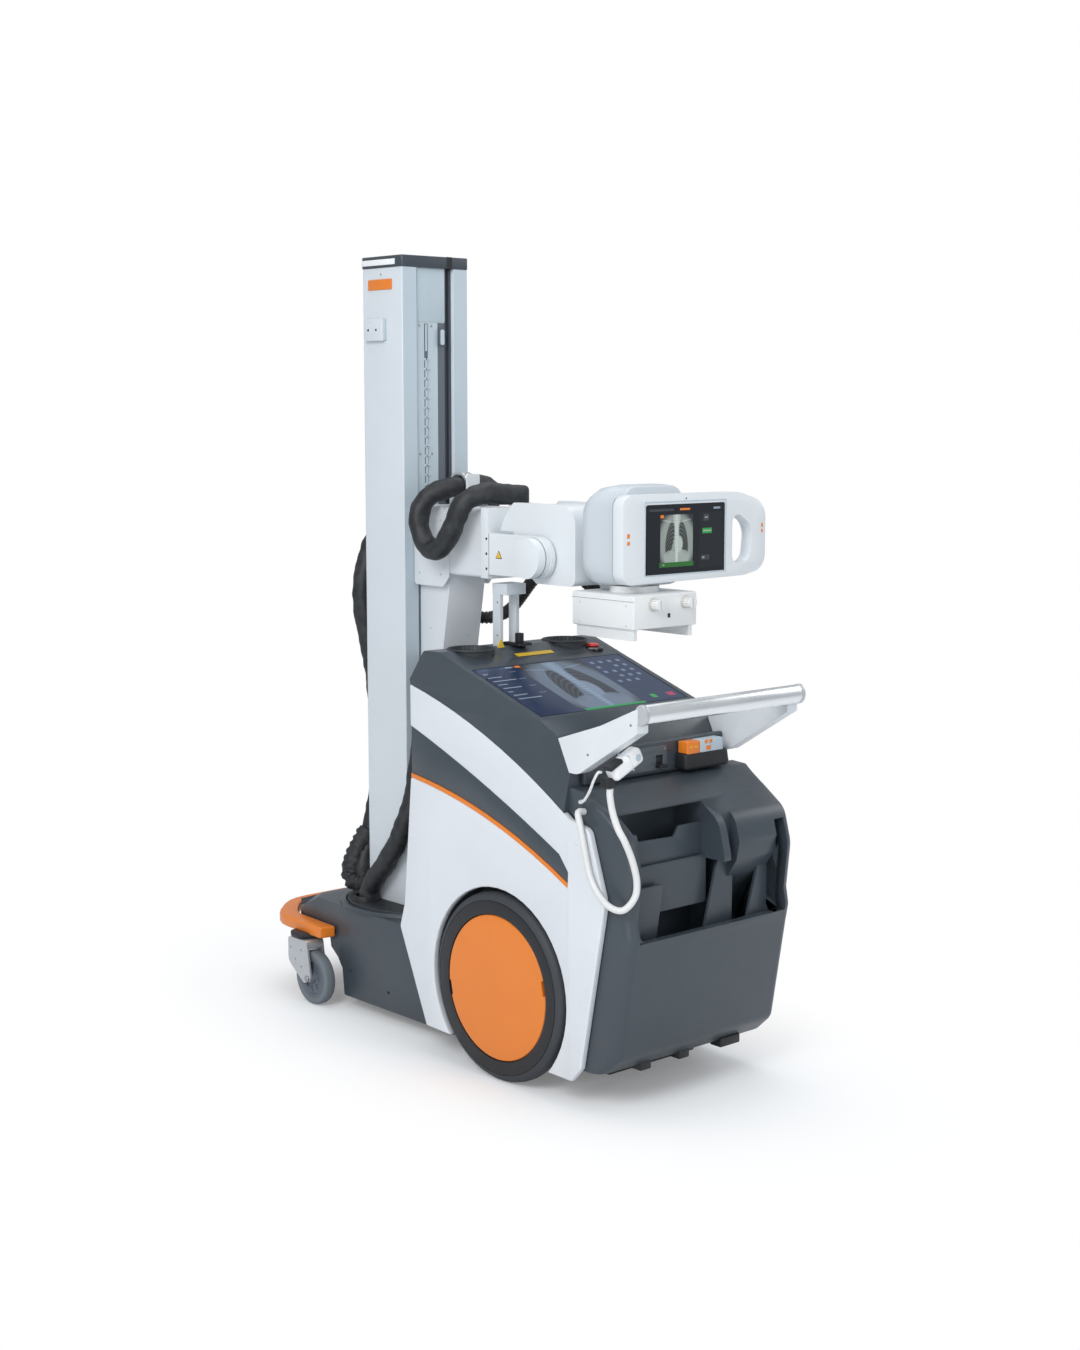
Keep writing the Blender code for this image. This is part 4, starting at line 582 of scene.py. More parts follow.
def smoothRoute(points, spacing):  # the same smooth curve as in the CAD source, more closely sampled
    guide = [at(*point) for point in points]
    guide = [guide[0] * 2 - guide[1]] + guide + [guide[-1] * 2 - guide[-2]]
    dense = []
    for before, start, end, after in zip(guide, guide[1:], guide[2:], guide[3:]):
        for step in range(24):
            t = step / 24
            dense.append(0.5 * (2 * start + (end - before) * t
                                + (2 * before - 5 * start + 4 * end - after) * t * t
                                + (3 * start - before - 3 * end + after) * t * t * t))
    dense.append(guide[-2])
    total = sum((b - a).length for a, b in zip(dense, dense[1:]))
    count = max(4, round(total / spacing))
    result = [dense[0]]
    target = total / count
    walked = 0.0
    for a, b in zip(dense, dense[1:]):
        length = (b - a).length
        while walked + length >= target - 1e-9 and len(result) < count:
            result.append(a.lerp(b, (target - walked) / length))
            target += total / count
        walked += length
    result.append(dense[-1])
    return result, total


tableTop = 0.2996
cordTable = (
    # node, finish, radius, step, kind, stiffness, lay, body (or two bodies, the blend's start and end), route
    ("column_cable", "cableSleeve", 0.027, 0.006, "sleeve", "stiff", "hanging",
     ("column", "carriage", (0.0, 0.590, 0.480), (0.0, 0.590, 1.300)), (
        (0.148, 0.4400, 1.340), (0.148, 0.470, 1.340), (0.144, 0.520, 1.340), (0.120, 0.575, 1.335),
        (0.060, 0.603, 1.320),
        (-0.020, 0.603, 1.290), (-0.064, 0.598, 1.220), (-0.080, 0.596, 1.120), (-0.060, 0.594, 1.000),
        (-0.038, 0.592, 0.880), (-0.030, 0.592, 0.740), (-0.030, 0.592, 0.600), (-0.060, 0.590, 0.480),
        (-0.095, 0.580, 0.390), (-0.100, 0.572, 0.340), (-0.100, 0.572, tableTop))),
    ("foot_cable", "cableSleeve", 0.027, 0.006, "sleeve", "stiff", "hanging",
     ("column", "carriage", (0.0, 0.440, 0.420), (0.0, 0.440, 0.960)), (
        (-0.030, 0.312, 0.9840), (-0.030, 0.312, 0.950), (-0.056, 0.314, 0.885), (-0.086, 0.318, 0.800),
        (-0.104, 0.320, 0.700), (-0.122, 0.326, 0.600), (-0.145, 0.352, 0.500), (-0.147, 0.410, 0.420),
        (-0.146, 0.460, 0.370), (-0.144, 0.490, 0.330), (-0.144, 0.490, tableTop))),
    ("arm_cable", "cableSleeve", 0.027, 0.006, "sleeve", "stiff", "loose",
     ("carriage", "arm_end", (0.0, 0.215, 1.400), (0.0, 0.068, 1.400)), (
        (0.030, 0.066, 1.4190), (-0.020, 0.072, 1.421), (-0.072, 0.083, 1.425), (-0.120, 0.108, 1.397),
        (-0.132, 0.140, 1.330), (-0.134, 0.180, 1.285), (-0.134, 0.225, 1.280), (-0.134, 0.262, 1.315),
        (-0.132, 0.272, 1.370), (-0.108, 0.255, 1.415), (-0.060, 0.225, 1.437), (0.000, 0.215, 1.440),
        (0.060, 0.235, 1.437), (0.112, 0.270, 1.412), (0.142, 0.330, 1.362), (0.148, 0.380, 1.342),
        (0.148, 0.410, 1.340), (0.148, 0.4397, 1.340))),
    ("arm_conduit", "conduit", 0.017, 0.00275, "ribbed", "medium", "loose",
     ("carriage", "arm_end", (0.12, 0.170, 1.150), (0.12, -0.090, 1.150)), (
        (0.0603, 0.290, 1.080), (0.088, 0.290, 1.080), (0.112, 0.262, 1.083), (0.124, 0.205, 1.108),
        (0.127, 0.130, 1.180), (0.127, 0.080, 1.224), (0.127, 0.020, 1.233), (0.127, -0.045, 1.226),
        (0.124, -0.100, 1.192), (0.122, -0.140, 1.176), (0.122, -0.1647, 1.176))),
    ("switch_cord", "cordWhite", 0.008, 0.005, "plain", "medium", "hanging", "base", (
        (-0.276, -0.600, 0.7837), (-0.276, -0.600, 0.765), (-0.288, -0.622, 0.732),
        (-0.296, -0.648, 0.700), (-0.290, -0.664, 0.672), (-0.271, -0.669, 0.626), (-0.257, -0.669, 0.578),
        (-0.260, -0.666, 0.540), (-0.284, -0.655, 0.513), (-0.2985, -0.628, 0.516), (-0.2995, -0.592, 0.537),
        (-0.2990, -0.562, 0.573), (-0.2985, -0.545, 0.620), (-0.2980, -0.532, 0.665),
        (-0.2960, -0.522, 0.692), (-0.2890, -0.508, 0.716), (-0.2692, -0.508, 0.716))),
    ("switch_lead", "cordWhite", 0.0033, 0.003, "plain", "limp", "loose", "base", (
        (-0.2945, -0.590, 0.822), (-0.3045, -0.590, 0.822), (-0.3065, -0.578, 0.802),
        (-0.3040, -0.562, 0.775), (-0.3010, -0.542, 0.752), (-0.2950, -0.522, 0.742),
        (-0.2850, -0.510, 0.742), (-0.2692, -0.510, 0.742))),
)


slack = {"radius": 0.030, "step": 0.006, "route": (
    (-0.072, 0.590, 0.470), (-0.094, 0.594, 0.435), (-0.112, 0.602, 0.395), (-0.122, 0.604, 0.358),
    (-0.120, 0.592, 0.334), (-0.108, 0.572, 0.328), (-0.098, 0.556, 0.332))}


def cordSize(kind, index):  # how thick a cord is at a point along it, beside its nominal radius
    if kind == "ribbed":
        return (1.0, 1.0, 0.86, 0.86)[index % 4]
    if kind == "sleeve":
        return 1.02 - 0.05 * (0.5 + 0.5 * math.sin(index * 0.83) * math.sin(index * 0.29 + 0.7))
    return 1.0


def addFolds(item, name, size, strength, middle):  # creases of a loose sleeve
    clouds = bpy.data.textures.new(name, "CLOUDS")
    clouds.noise_scale = size
    step = item.modifiers.new("folds", "DISPLACE")
    step.texture = clouds
    step.texture_coords = "LOCAL"
    step.strength = strength
    step.mid_level = middle


def makeCords():
    for node, finish, radius, step, kind, stiffness, lay, holder, points in cordTable:
        route, length = smoothRoute(points, step)
        item = addLine(node + "Line", route, sizes=[cordSize(kind, index) for index in range(len(route))],
                       bevel_depth=radius, bevel_resolution=8 if radius > 0.01 else 4, use_fill_caps=True)
        turnToMesh(item)
        cleanMesh(item)
        if kind == "sleeve":
            addFolds(item, node + "Folds", 0.034, 0.0070, 0.55)
        finishPiece(item, finish, None if isinstance(holder, tuple) else holder, smooth=60)
        if isinstance(holder, tuple):
            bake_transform(item)
        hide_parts(node)


def makeSlack():  # the fold of slack sleeve that lies on the turntable
    route = smoothRoute(slack["route"], slack["step"])[0]
    item = addLine("sleeveSlack", route,
                   sizes=[1.0 - 0.16 * (0.5 + 0.5 * math.sin(index * 1.9)) for index in range(len(route))],
                   bevel_depth=slack["radius"], bevel_resolution=8, use_fill_caps=True)
    turnToMesh(item)
    addFolds(item, "slackFolds", 0.016, 0.012, 0.5)
    finishPiece(item, "cableSleeve", "column", smooth=60)


# Turned pieces, made again with finer steps than the solids

wheel = {"y": -0.217, "z": 0.236, "notchTurn": -11.5, "notchReach": 0.1785, "bolts": 6, "boltReach": 0.10}


def makeRearWheels():
    low, high = boxOf("rear_tyre_right")
    inside, out = low.x, high.x
    disc = boxOf("rear_disc_right")[1].x
    y, z = wheel["y"], wheel["z"]
    centre = (0.0, y, z)
    for side, sign in sides:
        body = "rear_wheel_" + side.lower()
        ahead = (sign, 0, 0)
        tyre = addTurned("rearTyre" + side, lifted(inside, (
            (0.188, 0.004), (0.200, 0.001), (0.216, 0.0005), (0.226, 0.003), (0.2330, 0.009),
            (0.2358, 0.018)))
            + lifted(out, (
                (0.2358, -0.024), (0.2340, -0.014), (0.2285, -0.0065), (0.2200, -0.0022), (0.2165, -0.0012),
                (0.2158, -0.0030), (0.2150, -0.0030), (0.188, -0.0045))), centre, ahead, 144)
        finishPiece(tyre, "tyreRubber", body, smooth=32)
        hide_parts("rear_tyre_" + side.lower())
        ring = addTurned("rimRing" + side, lifted(out, (
            (0.2150, -0.0032), (0.2146, -0.0014), (0.2135, -0.0010), (0.1835, -0.0010), (0.1822, -0.0018),
            (0.1820, -0.0090), (0.1860, -0.0090), (0.1870, -0.0040), (0.2148, -0.0034))), centre, ahead, 144)
        finishPiece(ring, "rimBlack", body, smooth=30)
        cover = addTurned("wheelDisc" + side, lifted(disc, (
            (0.0, 0.0), (0.150, -0.0003), (0.1735, -0.0012), (0.1788, -0.0022), (0.1803, -0.0042),
            (0.1803, -0.0100), (0.0, -0.0100))), centre, ahead, 144)
        near, far = sorted((sign * (disc - 0.012), sign * (disc + 0.020)))
        hub = Vector(centre)
        for way in (-1, 1):
            middle = y + way * wheel["notchReach"]
            notch = addBox("notch", (near, middle - 0.0060, z - 0.0185), (far, middle + 0.0060, z + 0.0185))
            turn = Matrix.Rotation(math.radians(wheel["notchTurn"]), 4, "X")
            cutAway(cover, moveMesh(notch, Matrix.Translation(hub), turn, Matrix.Translation(-hub)))
        finishPiece(cover, "orange", body, edge=0.0008, segments=2, angle=50, smooth=30)
        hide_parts("rear_disc_" + side.lower())
        back = addTurned("wheelBack" + side, lifted(disc, ((0.026, -0.0105), (0.187, -0.0105)))
                         + lifted(inside, ((0.187, 0.006), (0.176, 0.005), (0.150, 0.016), (0.070, 0.016),
                                           (0.050, 0.004), (0.026, 0.004))), centre, ahead, 96)
        finishPiece(back, "rimBlack", body, edge=0.0015, segments=2, angle=40, smooth=30)
        angles = [2 * math.pi * index / wheel["bolts"] for index in range(wheel["bolts"])]
        addScrews("wheelBolts" + side, body, "steel",
                  [((sign * (inside + 0.0158), y + wheel["boltReach"] * math.cos(angle),
                     z + wheel["boltReach"] * math.sin(angle)), (-sign, 0, 0), 0.007) for angle in angles])


caster = {"x": 0.243, "y": 0.612, "z": 0.075, "pockets": 8, "pocketReach": 0.0305, "pocketRadius": 0.0085}


def makeCasterWheels():
    low, high = boxOf("caster_tyre_right")
    half = (high.x - low.x) / 2
    for side, sign in sides:
        body = "caster_wheel_" + side.lower()
        x, y, z = centre = (sign * caster["x"], caster["y"], caster["z"])
        shoulder = lifted(half, ((0.0562, -0.0015), (0.0600, -0.0004), (0.0690, 0.0), (0.0728, -0.0022),
                                 (0.0746, -0.0070)))
        tyre = addTurned("casterTyre" + side, mirrored(shoulder, ((0.0750, 0.0),)), centre, (1, 0, 0), 96)
        finishPiece(tyre, "casterRubber", body, smooth=32)
        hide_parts("caster_tyre_" + side.lower())
        face = lifted(half, ((0.0075, 0.0042), (0.0130, 0.0042), (0.0150, 0.0020), (0.0165, -0.0050),
                             (0.0440, -0.0075), (0.0465, -0.0040), (0.0490, -0.0010), (0.0560, -0.0010)))
        hub = addTurned("casterHub" + side, mirrored(face), centre, (1, 0, 0), 96)
        pockets = []
        for index in range(caster["pockets"]):
            angle = 2 * math.pi * index / caster["pockets"]
            py, pz = y + caster["pocketReach"] * math.cos(angle), z + caster["pocketReach"] * math.sin(angle)
            for start, end in ((x - 0.05, x - half * 0.45), (x + half * 0.45, x + 0.05)):
                pockets.append(addRod("pocket", (start, py, pz), (end, py, pz), caster["pocketRadius"], 20))
        cutAway(hub, joinAll("pockets", pockets))
        finishPiece(hub, "casterHub", body, edge=0.0005, segments=1, angle=50, smooth=30)
        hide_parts("caster_hub_" + side.lower())
        rings = [addTurned("bearing", (
            (0.0076, end * (half + 0.0046)), (0.0110, end * (half + 0.0046)), (0.0112, end * (half + 0.0034)),
            (0.0076, end * (half + 0.0034))), centre, (1, 0, 0), 40) for end in (1, -1)]
        finishPiece(joinAll("casterBearing" + side, rings), "steel", body, smooth=30)


def makeCasterForks():
    nut = ((0.0, 0.0034), (0.0070, 0.0030), (0.0082, 0.0018), (0.0086, -0.001), (0.0, -0.001))
    for side, sign in sides:
        body = "caster_" + side.lower()
        low, high = boxOf("caster_fork_" + side.lower())
        nuts = [addTurned("axleNut", nut, (x, caster["y"], caster["z"]), (way, 0, 0), 32)
                for x, way in ((low.x, -1), (high.x, 1))]
        finishPiece(joinAll("axleNuts" + side, nuts), "steel", body, smooth=30)
        face = sign * (caster["x"] + 0.0285)
        addScrews("forkScrews" + side, body, "steel", [
            ((face, y, z), (sign, 0, 0), 0.0028)
            for y, z in ((0.640, 0.150), (0.668, 0.120), (0.640, 0.104), (0.690, 0.150))])


# Column: cap with its light strip, plates, chain, capsule in the groove

column = {"left": -0.110, "front": 0.365, "middle": 0.453, "foot": 0.31, "shoulder": 2.006, "tableTop": 0.285,
          "plate": 0.008, "plateLeft": -0.0628, "plateRight": 0.0368, "split": 1.8655,
          "collars": ((-0.100, 0.572), (-0.152, 0.500))}


def makeColumnDetails():
    left, front, foot, shoulder = column["left"], column["front"], column["foot"], column["shoulder"]
    plateLeft, plateRight, split = column["plateLeft"], column["plateRight"], column["split"]
    face = front + column["plate"]
    addBoxes("column", (
        ("capStrip", (left - 0.0028, 0.3930, 2.0135), (left + 0.004, 0.5385, 2.0285),
         "brightWhite", 0.0008, 2),
        ("capGap", (0.0385, 0.3622, 2.0072), (0.0565, 0.372, 2.0374), "softBlack", 0.0004, 1),
        ("slotUpperPlate", (plateLeft, face - 0.0022, split + 0.001), (plateRight, face + 0.0004, 2.0066),
         "plateGrey", 0.0008, 2),
        ("slotLowerPlate", (plateLeft, face - 0.0012, foot), (0.0128, face + 0.0004, split - 0.001),
         "plateGrey", 0.0006, 2),
        ("slotShadedEdge", (0.0130, face - 0.0006, foot), (plateRight, face + 0.0004, split - 0.001),
         "casterHub", 0.0004, 1),
        ("rearStripLeft", (-0.1086, 0.3642, foot), (-0.0634, 0.3652, 2.0062), "columnShade", 0.0003, 1),
        ("rearStripRight", (0.0624, 0.3642, foot), (0.1086, 0.3652, 2.0062), "columnShade", 0.0003, 1),
        ("grooveLining", (0.0372, front + 0.0205, foot), (0.0618, front + 0.0300, shoulder),
         "slateLight", 0.0004, 1),
        ("grooveEdge", (0.0540, front + 0.0105, foot), (0.0618, front + 0.0300, shoulder),
         "slate", 0.0004, 1)))
    for name, low, high, radius, y0, y1, finish, edge in (
            ("capsuleFrame", (0.0145, 1.8040), (0.0325, 1.8500), 0.006, 0.3655, 0.3740, "slateLight", 0.0008),
            ("capsule", (0.0175, 1.8070), (0.0298, 1.8470), 0.005, 0.3635, 0.3660, "columnShade", 0.0006)):
        finishPiece(addSheet(name, softRect(low, high, radius), "XZ", y0, y1), finish, "column", edge)
    badge = addSheet("columnBadge", softRect((0.4080, 1.9500), (0.5100, 1.9770), 0.003), "YZ",
                     left - 0.0022, left)
    finishPiece(badge, "orange", "column", 0.0007)
    screws = [((x, face - 0.0012, z), (0, -1, 0), 0.0034)
              for z in (1.8560, 1.5200, 1.2000, 0.8600, 0.5600) for x in (-0.0490, -0.0080)]
    screws.append(((left, 0.456, 1.9900), (-1, 0, 0), 0.0030))
    addScrews("columnScrews", "column", "steel", screws)
    low, high = boxOf("junction_box")
    dressNode("junction_box", "columnWhite", 0.0012, 3, "junctionCover")
    addBoxes("column", (("junctionGap", (left - 0.0060, low.y - 0.0045, low.z + 0.001),
                         (left + 0.0004, low.y, high.z - 0.001), "plateGrey", 0.0004, 1),))
    addScrews("junctionScrews", "column", "slateDark",
              [((low.x, y, (low.z + high.z) / 2), (-1, 0, 0), 0.0034) for y in (0.4640, 0.4980)])


chain = {"x": -0.0270, "face": 0.3694, "pitch": 0.0254, "rodFrom": 1.800, "linkHalf": 0.0034,
         "linkTall": 0.0215}


def makeChain():  # a plain rod above, links and pins of the lift chain below
    low, high = boxOf("chain_rail")
    middle, face, pitch, half = chain["x"], chain["face"], chain["pitch"], chain["linkHalf"]
    link = addSheet("chainLink", softRect((middle - half, low.z), (middle + half, low.z + chain["linkTall"]),
                                          0.0032, 3), "XZ", face + 0.0004, face + 0.0020)
    pins = joinAll("chainPins", [addRod("pin", (middle + way * 0.0030, face + 0.0014, low.z + 0.0235),
                                        (middle + way * 0.0078, face + 0.0014, low.z + 0.0235), 0.0036, 12)
                                 for way in (-1, 1)])
    for item, name, finish in ((link, "liftChain", "columnShade"), (pins, "chainPins", "plateGrey")):
        item.name = name
        step = item.modifiers.new("links", "ARRAY")
        step.count = int((chain["rodFrom"] - low.z) / pitch) - 1
        step.use_relative_offset = False
        step.use_constant_offset = True
        step.constant_offset_displace = (0.0, 0.0, pitch)
        finishPiece(item, finish, "column", smooth=35)
    rod = addRod("liftRod", (middle, face + 0.0016, chain["rodFrom"] - 0.010),
                 (middle, face + 0.0016, high.z - 0.020), 0.0026, 20)
    finishPiece(rod, "plateGrey", "column", smooth=40)
    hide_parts("chain_rail")
    addBoxes("column", (("chainSlot", (middle - 0.0060, face + 0.0020, 0.492),
                         (middle + 0.0060, face + 0.0026, high.z - 0.018), "casterHub", 0.0002, 1),))


def makeColumnFoot():
    top = column["tableTop"]
    centre = (0, column["middle"], 0)
    table = addTurned("turntablePlate", lifted(top, (
        (0.0, 0.0143), (0.150, 0.0143), (0.1930, 0.0143), (0.1970, 0.0130), (0.1990, 0.0100),
        (0.1990, 0.0005), (0.0, 0.0005))), centre, (0, 0, 1), 128)
    finishPiece(table, "slateDark", "column", smooth=30)
    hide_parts("turntable")
    low, high = boxOf("column_ring")
    outer = (high.x - low.x) / 2
    inner = outer - 0.018
    ring = addTurned("footRing", lifted(top, (
        (inner, 0.0070), (inner + 0.002, 0.0098), (outer - 0.006, 0.0098), (outer - 0.002, 0.0070),
        (outer, 0.0005), (inner, 0.0005))), centre, (0, 0, 1), 128)
    finishPiece(ring, "slate", "base", smooth=32)
    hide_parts("column_ring")
    outline = lifted(top, ((0.0265, 0.0300), (0.0300, 0.0295), (0.0335, 0.0240), (0.0345, 0.0143),
                           (0.0265, 0.0143)))
    collars = [addTurned("cableCollar", outline, (x, y, 0), (0, 0, 1), 64) for x, y in column["collars"]]
    finishPiece(joinAll("cableCollars", collars), "softBlack", "column", smooth=40)


# Console: cups, screen and its picture, stop button, yellow label, dock post

slope = {"low": (-0.335, 0.915), "high": (-0.078, 1.002)}
slopeLength = math.hypot(slope["high"][0] - slope["low"][0], slope["high"][1] - slope["low"][1])
slopeUp = Vector((0.0, slope["high"][0] - slope["low"][0], slope["high"][1] - slope["low"][1])) / slopeLength
slopeOut = Vector((0.0, -slopeUp.z, slopeUp.y))


def mapFlat(item, origin, across, up):  # one picture over the piece: u along across, v along up
    while item.data.uv_layers:
        item.data.uv_layers.remove(item.data.uv_layers[0])
    layer = item.data.uv_layers.new(name="picture")
    for loop in item.data.loops:
        offset = item.data.vertices[loop.vertex_index].co - origin
        layer.data[loop.index].uv = (offset.dot(across) / across.length_squared,
                                     offset.dot(up) / up.length_squared)
    item.data.uv_layers.active = layer
    layer.active_render = True


def makePicture(name, back, inset, tint, marks):  # the chest picture in its rectangle, with marks over it
    group, _, last, place = newGroup(name, (), surfaceOutputs[:1])
    u0, v0, u1, v1 = inset
    moved = addVector(group, "SUBTRACT", place["UV"], (u0, v0, 0.0))
    inner = addVector(group, "MULTIPLY", moved, (1 / (u1 - u0), 1 / (v1 - v0), 0.0))
    axes = splitAxes(group, inner)
    chest = chestPicture(group, axes[0], axes[1], inner, tint)
    color = addMix(group, hardRect(group, place["UV"], inset), back, chest)
    for row in marks:
        color = addMix(group, hardRect(group, place["UV"], row[:4]), color, row[4])
    group.links.new(color, last.inputs["Color"])
    material = bpy.data.materials.new(name)
    material.use_nodes = True
    tree = material.node_tree
    surface = addNode(tree, "ShaderNodeGroup", node_tree=group)
    for label, value in (("Base Color", (0.004, 0.005, 0.008, 1)), ("Roughness", 0.16),
                         ("Emission Strength", 0.85), ("Emission Color", surface.outputs["Color"])):
        feed(tree, tree.nodes["Principled BSDF"].inputs[label], value)
    finishes[name] = material


def softDisc(group, u, v, cu, cv, ru, rv, soft=0.25):
    across = addMath(group, "DIVIDE", addMath(group, "SUBTRACT", u, cu), ru)
    up = addMath(group, "DIVIDE", addMath(group, "SUBTRACT", v, cv), rv)
    squares = [addMath(group, "MULTIPLY", part, part) for part in (across, up)]
    return addMap(group, addMath(group, "ADD", *squares), 1.0 + soft, 1.0 - soft, 0.0, 1.0, "SMOOTHSTEP")


def hardRect(group, place, corners):
    u0, v0, u1, v1 = corners
    offset = addVector(group, "SUBTRACT", place, ((u0 + u1) / 2, (v0 + v1) / 2, 0.0))
    offset = addVector(group, "MULTIPLY", offset, (2 / (u1 - u0), 2 / (v1 - v0), 0.0))
    axes = splitAxes(group, addVector(group, "ABSOLUTE", offset))
    return addMath(group, "LESS_THAN", addMath(group, "MAXIMUM", axes[0], axes[1]), 1.0)


def grey(level):
    return (level * 0.94, level * 0.98, level, 1.0)


def chestPicture(group, u, v, place, tint):  # made up: shoulders, lungs, ribs, spine, heart, diaphragm
    def times(a, b):
        return addMath(group, "MULTIPLY", a, b)

    def plus(a, b):
        return addMath(group, "ADD", a, b)

    def disc(cu, cv, ru, rv, soft):
        return softDisc(group, u, v, cu, cv, ru, rv, soft)

    color = addMix(group, disc(0.50, 0.42, 0.56, 0.62, 0.30), grey(0.03), grey(0.40))
    color = addMix(group, disc(0.50, 0.86, 0.11, 0.30, 0.4), color, grey(0.62))
    for side in (-1, 1):
        lean = plus(u, times(addMath(group, "SUBTRACT", v, 0.52), side * 0.20))
        lung = softDisc(group, lean, v, 0.5 + side * 0.205, 0.50, 0.120, 0.360, 0.24)
        tone = addMix(group, addMap(group, v, 0.30, 0.85, 0.0, 1.0), grey(0.030), grey(0.075))
        color = addMix(group, lung, color, tone)
        bow = addMath(group, "SUBTRACT", u, 0.5 + side * 0.10)
        ribs = addMath(group, "SINE", times(plus(v, times(times(bow, bow), 4.2)), 74.0))
        ribs = times(addMap(group, ribs, 0.0, 1.0, 0.0, 0.16, "SMOOTHSTEP"),
                     disc(0.5 + side * 0.21, 0.52, 0.185, 0.380, 0.30))
        color = addMix(group, ribs, color, grey(0.70))
        bone = softDisc(group, u, plus(v, times(u, -side * 0.16)), 0.5 + side * 0.23,
                        0.86 - side * 0.08 - 0.037, 0.21, 0.014, 0.5)
        color = addMix(group, times(bone, 0.45), color, grey(0.80))
        dome = disc(0.5 + side * 0.190, 0.10, 0.200, 0.150, 0.26)
        color = addMix(group, times(dome, 0.8), color, grey(0.52))
    color = addMix(group, disc(0.56, 0.38, 0.125, 0.175, 0.34), color, grey(0.66))
    spine = addMath(group, "SINE", times(v, 120.0))
    tone = addMix(group, addMap(group, spine, -1.0, 1.0, 0.0, 1.0), grey(0.66), grey(0.84))
    color = addMix(group, disc(0.50, 0.50, 0.048, 0.72, 0.4), color, tone)
    noise = addNoise(group, place, 60.0, 3.0)
    color = addMix(group, addMap(group, noise, 0.35, 0.75, 0.0, 0.22), color, grey(0.10))
    return addMix(group, 1.0, color, tint, "MULTIPLY")


paleLine = (0.30, 0.36, 0.46, 1)
signGreen = (0.03, 0.34, 0.07, 1)
signPink = (0.42, 0.03, 0.12, 1)
signOrange = (0.85, 0.22, 0.02, 1)
darkKey = (0.05, 0.055, 0.06, 1)

# what is on the screens: left, lower, right, upper edge as shares of the picture, and colour
consoleMarks = [
    (0.005, 0.955, 0.27, 0.995, (0.02, 0.045, 0.12, 1)), (0.715, 0.02, 0.995, 0.98, (0.014, 0.030, 0.085, 1)),
    (0.265, 0.955, 0.30, 0.995, signOrange), (0.30, 0.0, 0.715, 0.035, (0.02, 0.30, 0.10, 1)),
    (0.80, 0.07, 0.835, 0.14, signGreen), (0.915, 0.07, 0.965, 0.14, signPink),
    (0.20, 0.965, 0.25, 0.985, paleLine)]
consoleMarks += [(0.02, 0.88 - 0.075 * row, 0.05 + 0.03 * ((row * 7) % 5), 0.895 - 0.075 * row, paleLine)
                 for row in range(8)]
consoleMarks += [(0.19, 0.88 - 0.15 * row, 0.235, 0.895 - 0.15 * row, (0.12, 0.16, 0.24, 1))
                 for row in range(4)]
consoleMarks += [(0.745 + 0.062 * place, 0.86 - 0.105 * row, 0.770 + 0.062 * place, 0.905 - 0.105 * row,
                  (0.16, 0.22, 0.34, 1))
                 for row in range(5) for place in range(4) if (row * 4 + place) % 7 != 5]
displayMarks = [
    (0.03, 0.90, 0.34, 0.935, darkKey), (0.42, 0.905, 0.55, 0.935, signOrange),
    (0.86, 0.905, 0.95, 0.935, paleLine), (0.68, 0.04, 0.98, 0.86, (0.012, 0.013, 0.015, 1)),
    (0.715, 0.545, 0.84, 0.625, signGreen), (0.725, 0.575, 0.83, 0.595, (0.35, 0.5, 0.36, 1)),
    (0.73, 0.735, 0.80, 0.835, (0.055, 0.06, 0.065, 1)), (0.745, 0.775, 0.785, 0.795, paleLine),
    (0.70, 0.15, 0.81, 0.225, darkKey), (0.715, 0.175, 0.745, 0.20, paleLine),
    (0.16, 0.075, 0.60, 0.145, (0.03, 0.16, 0.025, 1)), (0.20, 0.10, 0.225, 0.12, paleLine),
    (0.17, 0.80, 0.215, 0.845, signOrange)]
pictureSheet = {"left": -0.2483, "right": 0.2443, "lower": 0.001, "upper": slopeLength - 0.004,
                "inset": 0.004}


def makeScreens():
    makePicture("consolePicture", (0.012, 0.026, 0.075, 1), (0.27, 0.035, 0.71, 0.995),
                (0.34, 0.44, 0.60, 1), consoleMarks)
    makePicture("displayPicture", (0.006, 0.007, 0.009, 1), (0.17, 0.145, 0.59, 0.845),
                (0.86, 0.95, 0.88, 1), displayMarks)
    left, right, lower, upper = [pictureSheet[edge] for edge in ("left", "right", "lower", "upper")]
    glass = addBox("consolePictureSheet", (left, lower, -0.0002), (right, upper, 0.0006))
    start = Vector((0, *slope["low"]))
    moveMesh(glass, Matrix.Translation(start), axesTurn((1, 0, 0), slopeUp, slopeOut))
    finishPiece(glass, "consolePicture", "base")
    mapFlat(glass, start + Vector((left, 0, 0)) + slopeUp * lower + shift, Vector((right - left, 0, 0)),
            slopeUp * (upper - lower))
    inset = pictureSheet["inset"]
    low, high = boxOf("head_display")
    wide, tall = high.x - low.x - 2 * inset, high.z - low.z - 2 * inset
    sheet = addBox("displayPictureSheet", (low.x + inset, low.y - 0.0006, low.z + inset),
                   (high.x - inset, low.y + 0.0004, high.z - inset))
    finishPiece(sheet, "displayPicture", "head")
    mapFlat(sheet, at(low.x + inset, low.y, low.z + inset), Vector((wide, 0, 0)), Vector((0, 0, tall)))


console = {"plateau": 1.037, "cup": (0.160, 0.030), "stop": (0.205, -0.030, 0.0)}


